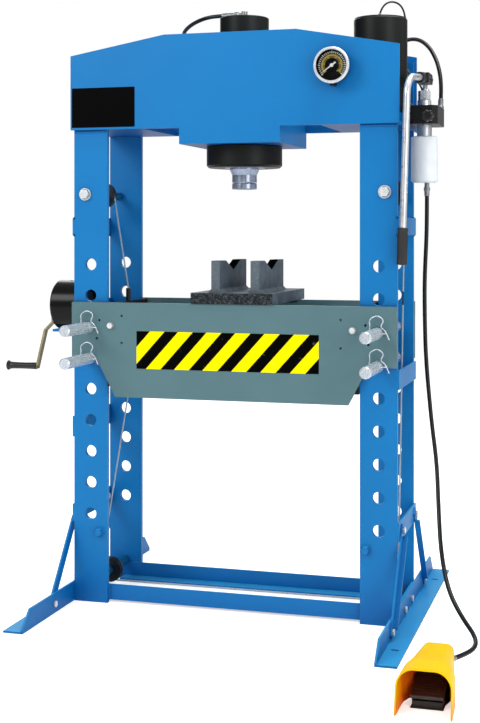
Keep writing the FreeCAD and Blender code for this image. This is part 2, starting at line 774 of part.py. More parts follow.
# ------------------------------------------------------------- V blocks ----
def vee_block(x, extra):
    """A flat bar with a notched plate welded across it, in line with the bed plates."""
    half = block_width / 2.0
    top = bed_top + block_thick
    bar = block((x - half - extra, x + half), (block_y - block_length / 2.0, block_y + block_length / 2.0),
                (bed_top, top))
    y0, y1 = vee_y - vee_length / 2.0, vee_y + vee_length / 2.0
    crest = top + vee_height
    outline = [(y0, top), (y1, top), (y1, crest), (vee_y + vee_notch_width / 2.0, crest),
               (vee_y, crest - vee_notch_depth), (vee_y - vee_notch_width / 2.0, crest), (y0, crest)]
    plate = plate_yz(outline, x - vee_plate / 2.0, x + vee_plate / 2.0)
    weld = vee_weld
    bead = plate_xz([(x - vee_plate / 2.0 - weld, top), (x + vee_plate / 2.0 + weld, top),
                     (x + vee_plate / 2.0, top + weld), (x - vee_plate / 2.0, top + weld)],
                    y0, y1)
    lug_half = bed_inner_y - 1.5
    lug = block((x - half + 10.0, x + half - 10.0), (lug_half - 14.0, lug_half),
                (bed_top - block_lug * 1.5, bed_top))
    return fused([bar, plate, bead, lug, mirrored_y(lug)])


def make_vee_blocks():
    right_x = block_left_x + block_width + block_gap
    keep("vee_blocks", vee_block(block_left_x, block_left_extra), vee_block(right_x, 0.0))


# -------------------------------------------------------- lifting tackle ----
pulley_outer_r = pulley_line_r + pulley_rim
groove_r = pulley_line_r - cable_d / 2.0 - seat_gap / 2.0


def pulley(x, z):
    """A grooved wheel on a Y axle."""
    half = pulley_width / 2.0
    bore = axle_d / 2.0 + fit_gap
    lip = 2.0
    return turned([(bore, -half), (pulley_outer_r, -half), (pulley_outer_r, -half + lip),
                   (groove_r, -cable_d / 2.0 - 0.4), (groove_r, cable_d / 2.0 + 0.4),
                   (pulley_outer_r, half - lip), (pulley_outer_r, half), (bore, half)],
                  (x, 0, z), (0, 1, 0))


def pulley_axle(x, z, reach, head_y, stop_y):
    """A through bolt; a spacer each side of its pulley reaches to the plate at stop_y."""
    shank = [rod(axle_d, (x, -reach, z), (x, reach, z))]
    for way in (-1, 1):
        if head_y:
            shank += washer_and_head(x, way * head_y, z, way, axle_washer_d, axle_washer,
                                     axle_head_af, axle_head)
    spacers = []
    for way in (-1, 1):
        spacers.append(ring(spacer_d, axle_d + 2 * fit_gap, (x, way * (pulley_width / 2.0 + seat_gap), z),
                            (x, way * stop_y, z)))
    return [fused(shank)] + spacers


def make_pulleys():
    keep("pulley_upper_left", pulley(-pulley_x, pulley_z))
    keep("pulley_upper_right", pulley(pulley_x, pulley_z))
    keep("pulley_lower_left", pulley(-low_pulley_x, low_pulley_z))
    keep("pulley_lower_right", pulley(low_pulley_x, low_pulley_z))
    axles = []
    for side in (-1, 1):
        axles += pulley_axle(side * pulley_x, pulley_z, outer_y, outer_y, inner_y)
        axles += pulley_axle(side * low_pulley_x, low_pulley_z, inner_y, 0.0, inner_y - crossbar_plate)
    keep("pulley_axles", *axles)


def wheel_contact(point, centre, turning):
    """The point where a taut rope from an outside point meets a wheel's cable line.
    turning is 1 if the rope then goes round counter-clockwise, seen from the front."""
    dx, dz = point[0] - centre[0], point[1] - centre[1]
    far = math.hypot(dx, dz)
    bearing = math.atan2(dz, dx) + turning * math.acos(pulley_line_r / far)
    return (centre[0] + pulley_line_r * math.cos(bearing), centre[1] + pulley_line_r * math.sin(bearing))


def rope(stops):
    """A wire rope in the middle plane: free ends (x, z) and wheels (x, z, turning)."""
    joints = [stops[0]]
    for k in range(1, len(stops) - 1):
        x, z, turning = stops[k]
        before, after = stops[k - 1], stops[k + 1]
        if len(before) == 3:
            enter = (x + pulley_line_r * math.cos(seam_angle(before, stops[k])),
                     z + pulley_line_r * math.sin(seam_angle(before, stops[k])))
        else:
            enter = wheel_contact(before, (x, z), turning)
        if len(after) == 3:
            leave = (x + pulley_line_r * math.cos(seam_angle(stops[k], after)),
                     z + pulley_line_r * math.sin(seam_angle(stops[k], after)))
        else:
            leave = wheel_contact(after, (x, z), -turning)
        joints += [enter, (x, z, turning), leave]
    joints.append(stops[-1])
    edges = []
    for start, stop in zip(joints[0::3], joints[1::3]):
        edges.append(Part.LineSegment(V(start[0], 0, start[1]), V(stop[0], 0, stop[1])).toShape())
    arcs = []
    for k in range(1, len(joints) - 1, 3):
        enter, (x, z, turning), leave = joints[k:k + 3]
        first = math.atan2(enter[1] - z, enter[0] - x)
        last = math.atan2(leave[1] - z, leave[0] - x)
        sweep = (last - first) % (2 * math.pi) if turning > 0 else -((first - last) % (2 * math.pi))
        half = first + sweep / 2.0
        arcs.append(Part.Arc(V(enter[0], 0, enter[1]),
                             V(x + pulley_line_r * math.cos(half), 0, z + pulley_line_r * math.sin(half)),
                             V(leave[0], 0, leave[1])).toShape())
    ordered = [edges[0]]
    for arc, edge in zip(arcs, edges[1:]):
        ordered += [arc, edge]
    wire = Part.Wire(ordered)
    start, ahead = joints[0], joints[1]
    section = Part.Wire(Part.makeCircle(cable_d / 2.0, V(start[0], 0, start[1]),
                                        V(ahead[0] - start[0], 0, ahead[1] - start[1])))
    return wire.makePipeShell([section], True, False)


def seam_angle(first, second):
    """The bearing of both contact points of the straight run between two equal wheels
    that turn the same way."""
    along = math.atan2(second[1] - first[1], second[0] - first[0])
    return along - first[2] * math.pi / 2.0


def anchor_sleeve(x, z_plate, way):
    """A swaged sleeve that holds the end of a rope on the edge of a bed end plate."""
    return rod(anchor_sleeve_d, (x, 0, z_plate), (x, 0, z_plate + way * anchor_sleeve_length))


def make_cables():
    """Wire ropes: one from the winch over the upper left wheel to the bed, and one from the
    bed round the two lower wheels and over the upper right one, which keeps the bed level."""
    top = bed_end_z[1] + anchor_sleeve_length
    low = bed_end_z[0] - anchor_sleeve_length
    winch_rope = rope([(-cable_anchor_x, top), (-pulley_x, pulley_z, 1), (sum(drum_x) / 2.0, winch_z)])
    level_rope = rope([(-cable_anchor_x, low), (-low_pulley_x, low_pulley_z, 1), (low_pulley_x, low_pulley_z, 1),
                       (pulley_x, pulley_z, 1), (cable_anchor_x, top)])
    keep("winch_cable", fused([winch_rope, anchor_sleeve(-cable_anchor_x, bed_end_z[1], 1)]))
    keep("levelling_cable", fused([level_rope, anchor_sleeve(cable_anchor_x, bed_end_z[1], 1),
                                   anchor_sleeve(-cable_anchor_x, bed_end_z[0], -1)]))


# ---------------------------------------------------------------- winch ----
drum_y = drum_d / 2.0 + cable_d / 2.0 + seat_gap / 2.0
pinion_y = -5.0
pinion_z = winch_z - math.sqrt(gear_centres ** 2 - (drum_y - pinion_y) ** 2)


def gear_outline(teeth, turn):
    """Tooth flanks as straight lines between root, pitch and tip circles."""
    pitch_r = gear_module * teeth / 2.0
    root, tip = pitch_r - 1.2 * gear_module, pitch_r + 0.8 * gear_module
    step = 2 * math.pi / teeth
    points = []
    for k in range(teeth):
        middle = turn + k * step
        for r, share in ((root, -0.33), (pitch_r, -0.22), (tip, -0.11),
                         (tip, 0.11), (pitch_r, 0.22), (root, 0.33)):
            angle = middle + share * step
            points.append((r * math.cos(angle), r * math.sin(angle)))
    return points


def gear_wheel(teeth, turn, y, z, x0, x1):
    points = [(y + a, z + b) for a, b in gear_outline(teeth, turn)]
    return plate_yz(points, x0, x1)


def make_winch():
    """A hand winch: crank and pinion, geared down to the drum, on a bracket between the uprights."""
    x_out, x_in = winch_x
    plate_x = (-upright_outer_x, -upright_outer_x + winch_plate)
    support_x = (gear_x[1] + 2.0, gear_x[1] + 2.0 + winch_plate - 2.0)
    shelf_z = (winch_z - winch_cover_d / 2.0 - winch_plate, winch_z - winch_cover_d / 2.0)
    shelf_half = winch_shelf_width / 2.0
    bracket = fused([
        block(plate_x, (-inner_y, inner_y), (shelf_z[0], winch_plate_top)),
        block((x_out - 4.0, plate_x[0]), (-shelf_half, shelf_half), shelf_z)])
    cover_r = winch_cover_d / 2.0
    inner_r = cover_r - winch_cover_wall
    cover = turned([(0, 0), (cover_r - 6, 0), (cover_r, 6), (cover_r, x_in - x_out),
                    (inner_r, x_in - x_out), (inner_r, winch_cover_wall), (0, winch_cover_wall)],
                   (x_out, 0, winch_z), (1, 0, 0))
    slot = block((drum_x[0], drum_x[1] + 12.0), (-14.0, 14.0), (winch_z + inner_r / 2.0, winch_z + cover_r + 5))
    bore = [rod(shaft_d + 2 * fit_gap, (x_out - 10, pinion_y, pinion_z), (-upright_x, pinion_y, pinion_z)),
            rod(shaft_d + 2 * fit_gap, (x_out - 10, drum_y, winch_z), (-upright_x, drum_y, winch_z))]
    cover = cover.cut(Part.makeCompound([slot] + bore))
    support = block(support_x, (-shelf_half, shelf_half), (shelf_z[1] + winch_cover_wall + 1.0, winch_z + 24.0))
    support = support.common(rod(2 * inner_r - 1.0, (x_out, 0, winch_z), (x_in, 0, winch_z)))
    keep("winch_cover", cover)
    bracket = bracket.cut(Part.makeCompound(bore))
    keep("winch_bracket", bracket, support.cut(Part.makeCompound(bore)))
    r, flange_r, shaft_r = drum_d / 2.0, drum_flange_d / 2.0, shaft_d / 2.0
    x0, x1 = drum_x
    drum = turned([(0, winch_cover_wall + seat_gap), (shaft_r, winch_cover_wall + seat_gap),
                   (shaft_r, x0 - x_out), (flange_r, x0 - x_out), (flange_r, x0 + drum_flange - x_out),
                   (r, x0 + drum_flange - x_out), (r, x1 - drum_flange - x_out),
                   (flange_r, x1 - drum_flange - x_out), (flange_r, x1 - x_out), (shaft_r, x1 - x_out),
                   (shaft_r, plate_x[1] - x_out), (0, plate_x[1] - x_out)],
                  (x_out, drum_y, winch_z), (1, 0, 0))
    toward = math.atan2(pinion_z - winch_z, pinion_y - drum_y)
    gear = gear_wheel(gear_teeth, toward, drum_y, winch_z, *gear_x)
    keep("winch_drum", fused([drum, gear]))
    pinion = gear_wheel(pinion_teeth, toward + math.pi + math.pi / pinion_teeth, pinion_y, pinion_z, *gear_x)
    pinion_shaft = rod(shaft_d, (crank_hub_x - 6.0, pinion_y, pinion_z), (plate_x[1], pinion_y, pinion_z))
    keep("winch_pinion", fused([pinion, pinion_shaft]))
    lean = FreeCAD.Rotation(X_AXIS, -crank_lean_deg)
    half, thick = crank_width / 2.0, crank_plate / 2.0
    spine = [(crank_hub_x, 0.0)] + list(crank_bend)
    hub = ring(2 * half + 8.0, shaft_d + 2 * fit_gap, (crank_hub_x - 8.0, 0, 0), (crank_hub_x + 6.0, 0, 0))
    arm_outline = [(x - thick, -r) for x, r in spine] + [(x + thick, -r) for x, r in reversed(spine)]
    arm = plate_xz(arm_outline, -half, half)
    tip_x, tip_r = spine[-1]
    eye = rod(crank_width, (tip_x - thick, 0, -tip_r), (tip_x + thick, 0, -tip_r))
    spindle = rod(grip_spindle_d, (tip_x - thick - grip_length + 6.0, 0, -tip_r), (tip_x, 0, -tip_r))
    bore_hub = rod(shaft_d + 2 * fit_gap, (crank_hub_x - 20.0, 0, 0), (crank_hub_x + 20.0, 0, 0))
    crank = fused([hub, arm, eye, spindle]).cut(bore_hub)
    place = FreeCAD.Placement(V(0, pinion_y, pinion_z), lean)
    crank.Placement = place
    keep("winch_crank", crank)
    grip_r, flare_r, hole_r = grip_d / 2.0, grip_flare_d / 2.0, grip_spindle_d / 2.0 + fit_gap
    grip = turned([(hole_r, 0.5), (grip_r - 1.5, 0.5), (grip_r, 2.0), (grip_r - 1.0, grip_length * 0.5),
                   (grip_r, grip_length - 14.0), (flare_r, grip_length - 4.0), (flare_r - 1.5, grip_length),
                   (0, grip_length), (0, grip_length - 5.0), (hole_r, grip_length - 5.0)],
                  (0, 0, 0), (-1, 0, 0))
    end = place.multVec(V(tip_x - thick, 0, -tip_r))
    grip.translate(end)
    keep("winch_grip", grip)
    print("crank shaft", pinion_y, round(pinion_z, 2), "drum", round(drum_y, 2), winch_z,
          "grip axis", [round(v, 2) for v in end])


# ----------------------------------------------------------------- tank ----
def make_tank():
    """A round oil tank that stands in a low ring on the end plate, between the beam's plates."""
    r = tank_d / 2.0
    inner_r = r - tank_wall
    low, high = tank_bottom, tank_bottom + tank_height
    lid = high - tank_lid_step
    profile = [(0, low), (r - 4, low), (r, low + 4), (r, high - 6), (r - 3, high - 3), (r - 3, high),
               (r - 9, high), (r - 9, lid), (0, lid), (0, lid - tank_wall), (inner_r, lid - tank_wall - 3),
               (inner_r, low + tank_wall), (0, low + tank_wall)]
    keep("oil_tank", turned(profile, (tank_x, 0, 0), (0, 0, 1)))
    keep("tank_bracket", ring(tank_d + 2 * tank_ring, tank_d, (tank_x, 0, low),
                              (tank_x, 0, low + tank_ring_height)))


# ----------------------------------------------------------------- pump ----
def make_pump():
    """An air motor drives the pump block from below; the hand lever works its plunger from above."""
    x_in = beam_width / 2.0
    keep("pump_mounting_plate", block((x_in, x_in + pump_plate_thick), pump_plate_y, pump_plate_z))
    low, high = pump_block_z
    x0, x1 = pump_block_x
    y0, y1 = pump_block_y
    cut = pump_block_cut
    outline = [(x0, y0), (x1 - cut, y0), (x1, y0 + cut), (x1, y1 - 6.0), (x1 - 6.0, y1), (x0, y1)]
    body = fused([plate_xy(outline, low, high), rod(pump_neck_d, (pump_x, 0, motor_z[1]), (pump_x, 0, low + 1))])
    bores = [rod(plunger_d + 2 * fit_gap, (pump_x, 0, plunger_foot), (pump_x, 0, high + 1)),
             rod(knob_stem_d + 2 * fit_gap, (knob_x, y0 - 1, knob_z), (knob_x, y0 + knob_seat, knob_z))]
    bores += [rod(7.0, (x, y0 - 1, z), (x, y0 + 5, z))
              for x, z in ((x0 + 12, high - 12), (x0 + 12, low + 12), (x0 + 38, high - 12))]
    keep("pump_block", body.cut(Part.makeCompound(bores)))
    nut = fused([rod(gland_collar_d, (pump_x, 0, high), (pump_x, 0, gland_collar_z)),
                 hexagon(gland_af, (pump_x, 0, gland_collar_z), (pump_x, 0, gland_z))])
    nut = nut.cut(rod(plunger_d + 2 * fit_gap, (pump_x, 0, high - 1), (pump_x, 0, gland_z + 1)))
    post = fused([
        rod(fulcrum_post_d, (pump_x, fulcrum_y, high), (pump_x, fulcrum_y, fulcrum_z - 28.0)),
        block((pump_x - plunger_tongue / 2.0, pump_x + plunger_tongue / 2.0),
              (fulcrum_y - 9.0, fulcrum_y + 9.0), (fulcrum_z - 30.0, fulcrum_z)),
        rod(18.0, (pump_x - plunger_tongue / 2.0, fulcrum_y, fulcrum_z),
            (pump_x + plunger_tongue / 2.0, fulcrum_y, fulcrum_z))])
    post = post.cut(rod(link_pin_d + 2 * fit_gap, (x0, fulcrum_y, fulcrum_z), (x1, fulcrum_y, fulcrum_z)))
    keep("pump_gland_and_post", nut, post)
    r = motor_d / 2.0
    z0, z1 = motor_z
    keep("air_motor", turned(
        [(0, z0), (r - 5, z0), (r - 5, z0 + 4), (r, z0 + 4), (r, z1 - 3), (r - 3, z1), (0, z1)],
        (pump_x, 0, 0), (0, 0, 1)))


def make_pump_lever():
    """Plunger, lever socket and the bent handle with its grip."""
    half = plunger_tongue / 2.0
    slide = fulcrum_y * (1.0 - math.cos(math.radians(handle_swing_deg)))
    lag = fulcrum_y * (math.radians(handle_swing_deg) - math.sin(math.radians(handle_swing_deg)))
    pin_r = link_pin_d / 2.0
    eye = block((pump_x - half, pump_x + half), (-pin_r - 5.0, pin_r + slide + 5.0),
                (fulcrum_z - 30.0, fulcrum_z + pin_r + 5.5))
    window = block((pump_x - plunger_d, pump_x + plunger_d), (-pin_r - seat_gap, pin_r + slide + 2 * seat_gap),
                   (fulcrum_z - pin_r - lag - 2 * seat_gap, fulcrum_z + pin_r + seat_gap))
    stem = rod(plunger_d, (pump_x, 0, plunger_foot + 1.0), (pump_x, 0, fulcrum_z - 29.0))
    keep("pump_plunger", fused([stem, eye]).cut(window))
    start, corner, foot_point = V(pump_x, socket_bar_y, fulcrum_z), V(*handle_corner), V(*handle_foot)
    along = corner - start
    along.normalize()
    low, high = fulcrum_z - socket_height / 2.0, fulcrum_z + socket_height / 2.0
    cheeks = block((pump_x - socket_width / 2.0, pump_x + socket_width / 2.0),
                   (socket_bar_y, socket_rear_y), (low, high))
    round_end = rod(socket_height, (pump_x - socket_width / 2.0, fulcrum_y, fulcrum_z),
                    (pump_x + socket_width / 2.0, fulcrum_y, fulcrum_z))
    cheeks = cheeks.cut(block((x_low(), x_high()), (fulcrum_y, socket_rear_y + 1), (low - 1, high + 1)))
    gap = socket_cheek_gap / 2.0
    opening = block((pump_x - gap, pump_x + gap), (socket_slot_y, socket_rear_y + 20.0), (low - 1, high + 1))
    boss = rod(socket_height + 2.0, tuple(start), tuple(start + along * socket_boss_length))
    bar_bore = rod(handle_d + 2 * fit_gap, tuple(start + along * 6.0), tuple(start + along * socket_bore_length))
    socket = fused([cheeks, round_end, boss]).cut(opening).cut(bar_bore)
    pins = [rod(link_pin_d, (x_low() - 3.0, y, fulcrum_z), (x_high() + 3.0, y, fulcrum_z))
            for y in (0.0, fulcrum_y)]
    keep("lever_socket", fused([socket] + pins))
    bar_start = start + along * 8.0
    bar, radii, _ = tube([tuple(bar_start), handle_corner, handle_foot], handle_d, radius=handle_bend_r)
    print("handle bend", [round(r, 1) for r in radii])
    keep("pump_handle", bar)
    upward = corner - foot_point
    upward.normalize()
    r = handle_grip_d / 2.0
    bore = handle_d / 2.0 + fit_gap
    n = handle_grip_length
    grip = turned([(0, -5), (r - 2, -5), (r, -3), (r + 1, n * 0.2), (r - 1, n * 0.5), (r, n - 12), (r - 2, n - 5),
                   (bore, n - 5), (bore, 0), (0, 0)], tuple(foot_point), tuple(upward))
    keep("handle_grip", grip)
    knob_front = pump_block_y[0] - 16.0
    lobes = [rod(10.0, (knob_x + (knob_d / 2.0 - 4.0) * math.cos(a), knob_front, knob_z
                        + (knob_d / 2.0 - 4.0) * math.sin(a)),
                 (knob_x + (knob_d / 2.0 - 4.0) * math.cos(a), knob_front - knob_length, knob_z
                  + (knob_d / 2.0 - 4.0) * math.sin(a)))
             for a in [2 * math.pi * k / 7.0 for k in range(7)]]
    core = rod(knob_d - 5.0, (knob_x, knob_front, knob_z), (knob_x, knob_front - knob_length, knob_z))
    stem = rod(knob_stem_d, (knob_x, pump_block_y[0] + knob_seat - 2.0, knob_z), (knob_x, knob_front, knob_z))
    keep("release_knob", fused([core] + lobes + [stem]))


def x_low():
    return pump_x - socket_width / 2.0


def x_high():
    return pump_x + socket_width / 2.0


# -------------------------------------------------------------- fittings ----
def standing_union(end, neighbour, z, height, across_flats, diameter):
    """A hexagon on the face at height z, and a ferrule in line with the hose's last run."""
    end, neighbour = V(*end), V(*neighbour)
    aim = end - neighbour
    base = end + aim * ((z - end.z) / aim.z)
    inside = end + aim * ((z + height / 2.0 - end.z) / aim.z)
    return fused([hexagon(across_flats, (base.x, base.y, z), (base.x, base.y, z + height)),
                  rod(diameter, tuple(inside), tuple(end))])


def make_fittings():
    """Hose ends: elbow on the cylinder, unions on pump and tank, air inlet, pedal nipple."""
    cap = barrel_top
    elbow = fused([hexagon(26.0, (0, 0, cap), (0, 0, cap + 7.0)),
                   rod(20.0, (0, 0, cap + 7.0), (0, 0, elbow_z + 11.0)),
                   rod(14.0, (0, 0, elbow_z), (-30.0, 0, elbow_z)),
                   hexagon(19.0, (-20.0, 0, elbow_z), (-34.0, 0, elbow_z)),
                   rod(17.5, (-34.0, 0, elbow_z), (pressure_hose_route[0][0], 0, elbow_z))])
    top = pump_block_z[1]
    end = pressure_hose_route[-1]
    union = standing_union(end, pressure_hose_route[-2], top, 9.0, 19.0, 17.0)
    back = return_hose_route[-1]
    small = standing_union(back, return_hose_route[-2], top, 7.0, 13.0, 9.0)
    first = return_hose_route[0]
    lid = tank_bottom + tank_height - tank_lid_step
    cap_fitting = standing_union(first, return_hose_route[1], lid, 8.0, 15.0, 9.0)
    z0, z1 = air_port_z
    inlet = fused([rod(air_port_d, (air_port_x, 0, z1), (air_port_x, 0, z1 - 14.0)),
                   hexagon(17.0, (air_port_x, 0, z1 - 14.0), (air_port_x, 0, z1 - 26.0)),
                   rod(air_port_d + 1.0, (air_port_x, 0, z1 - 26.0), (air_port_x, 0, z0))])
    tail = air_hose_route[-1]
    root_y = guard_y[1] + 4.0
    nipple = fused([rod(10.0, (pedal_inlet_x, valve_y[1], pedal_inlet_z), (pedal_inlet_x, root_y, pedal_inlet_z)),
                    hexagon(17.0, (pedal_inlet_x, guard_y[1], pedal_inlet_z),
                            (pedal_inlet_x, root_y + 3.0, pedal_inlet_z)),
                    rod(air_hose_d + 2.0, (pedal_inlet_x + 1.5, root_y, pedal_inlet_z), tail)])
    keep("hose_fittings", elbow, union, small, cap_fitting, inlet, nipple)


pump_top = pump_block_z[1]
tank_lid_z = tank_bottom + tank_height - tank_lid_step
pressure_hose_route = [
    (-75.0, 0.0, elbow_z), (-112.0, 0.0, elbow_z), (-158.0, 14.0, elbow_z - 8.0),
    (-204.0, 48.0, elbow_z - 19.0), (-244.0, 100.0, elbow_z - 32.0), (-268.0, 160.0, elbow_z - 55.0),
    (-276.0, 208.0, elbow_z - 103.0), (-264.0, 232.0, elbow_z - 169.0), (-228.0, 244.0, 1656.0),
    (-164.0, 250.0, 1606.0), (-84.0, 246.0, 1578.0), (4.0, 242.0, 1568.0),
    (92.0, 240.0, 1574.0), (172.0, 231.0, 1596.0), (246.0, 221.0, 1636.0), (314.0, 213.0, 1686.0),
    (376.0, 208.0, 1742.0), (436.0, 206.0, 1788.0),
    (pump_x - 96.0, 203.0, pump_top + 241.0), (pump_x - 50.0, 189.0, pump_top + 241.0),
    (pump_x - 12.0, 168.0, pump_top + 213.0), (pump_x + 16.0, 142.0, pump_top + 167.0),
    (pump_x + 32.0, 120.0, pump_top + 117.0), (pump_x + 38.0, 103.0, pump_top + 69.0),
    (pump_x + 38.0, 93.0, pump_top + 31.0)]
return_hose_route = [
    (tank_x - 2.0, 0.0, tank_lid_z + 20.0), (tank_x + 4.0, 4.0, tank_lid_z + 43.0),
    (tank_x + 28.0, 18.0, tank_lid_z + 62.0), (tank_x + 56.0, 50.0, tank_lid_z + 55.0),
    (tank_x + 64.0, 90.0, tank_lid_z + 23.0), (tank_x + 58.0, 112.0, tank_lid_z - 29.0),
    (pump_x - 82.0, 119.0, pump_top + 189.0), (pump_x - 76.0, 112.0, pump_top + 135.0),
    (pump_x - 54.0, 93.0, pump_top + 105.0), (pump_x - 24.0, 79.0, pump_top + 78.0),
    (pump_x - 14.0, 72.0, pump_top + 45.0), (pump_x - 16.0, 68.0, pump_top + 19.0)]
air_hose_route = [
    (air_port_x, 0.0, air_port_z[0]), (air_port_x, -1.0, 1230.0), (air_port_x - 1.0, -5.0, 1160.0),
    (air_port_x - 6.0, -10.0, 1042.0), (588.0, -18.0, 918.0), (593.0, -28.0, 793.0), (615.0, -58.0, 605.0),
    (636.0, -90.0, 488.0), (648.0, -140.0, 370.0), (664.0, -205.0, 250.0), (697.0, -290.0, 160.0),
    (745.0, -362.0, 108.0), (pedal_inlet_x + 47.0, -430.0, 80.0),
    (pedal_inlet_x + 57.0, guard_y[1] + 110.0, 68.0), (pedal_inlet_x + 38.0, guard_y[1] + 60.5, 62.0),
    (pedal_inlet_x + 10.9, guard_y[1] + 18.5, pedal_inlet_z)]


def make_hoses():
    keep("pressure_hose", hose("pressure_hose", pressure_hose_route, pressure_hose_d))
    keep("return_hose", hose("return_hose", return_hose_route, return_hose_d))
    keep("air_hose", hose("air_hose", air_hose_route, air_hose_d))


# ---------------------------------------------------------------- gauge ----
def make_gauge():
    """A dial gauge with a bottom union that turns back into the beam."""
    r, face_r = gauge_d / 2.0, gauge_face_d / 2.0
    bezel_depth, dial_depth = 9.0, 14.0
    back = gauge_case_depth
    keep("gauge_case", fused([
        turned([(0, dial_depth), (face_r, dial_depth), (face_r, bezel_depth), (r - 2, bezel_depth), (r - 2, back - 8),
                (r - 8, back), (0, back)], (gauge_x, gauge_front_y, gauge_z), (0, 1, 0)),
        rod(6.0, (gauge_x, gauge_front_y + dial_depth + 1, gauge_z), (gauge_x, gauge_front_y + 11.0, gauge_z)),
        rod(gauge_stem_d, (gauge_x, gauge_front_y + back * 0.55, gauge_z - r + 8.0),
            (gauge_x, gauge_front_y + back * 0.55, gauge_z - r - gauge_stem_drop)),
        rod(gauge_stem_d, (gauge_x, gauge_front_y + back * 0.55, gauge_z - r - gauge_stem_drop + gauge_stem_d / 2.0),
            (gauge_x, -beam_face_y, gauge_z - r - gauge_stem_drop + gauge_stem_d / 2.0))]))
    keep("gauge_bezel", turned(
        [(face_r - 1.5, 0.0), (r - 3, 0.0), (r, 3.0), (r, bezel_depth), (face_r, bezel_depth),
         (face_r, 4.0), (face_r - 1.5, 3.0)], (gauge_x, gauge_front_y, gauge_z), (0, 1, 0)))
    keep("gauge_glass", rod(gauge_face_d - 2 * fit_gap, (gauge_x, gauge_front_y + 4.0, gauge_z),
                            (gauge_x, gauge_front_y + 4.0 + gauge_glass, gauge_z)))
    y = gauge_front_y + 8.5
    needle = plate_xz([(-needle_tail, -2.6), (-needle_tail, 2.6), (needle_length * 0.2, 1.7), (needle_length, 0.35),
                       (needle_length, -0.35), (needle_length * 0.2, -1.7)], 0, 1.2)
    needle = fused([needle, rod(11.0, (0, 0, 0), (0, 2.2, 0))])
    needle.Placement = FreeCAD.Placement(V(gauge_x, y, gauge_z), FreeCAD.Rotation(V(0, -1, 0), needle_rest_deg))
    keep("gauge_needle", needle)


# ---------------------------------------------------------------- pedal ----
def arch(half, height, corner, y, floor):
    """An upside-down U outline, flat on the floor, at one depth."""
    x0, x1 = pedal_x - half, pedal_x + half
    k = corner * (1 - math.sqrt(0.5))
    edges = [
        Part.LineSegment(V(x0, y, floor), V(x0, y, height - corner)).toShape(),
        Part.Arc(V(x0, y, height - corner), V(x0 + k, y, height - k), V(x0 + corner, y, height)).toShape(),
        Part.LineSegment(V(x0 + corner, y, height), V(x1 - corner, y, height)).toShape(),
        Part.Arc(V(x1 - corner, y, height), V(x1 - k, y, height - k), V(x1, y, height - corner)).toShape(),
        Part.LineSegment(V(x1, y, height - corner), V(x1, y, floor)).toShape(),
        Part.LineSegment(V(x1, y, floor), V(x0, y, floor)).toShape()]
    return Part.Wire(edges)


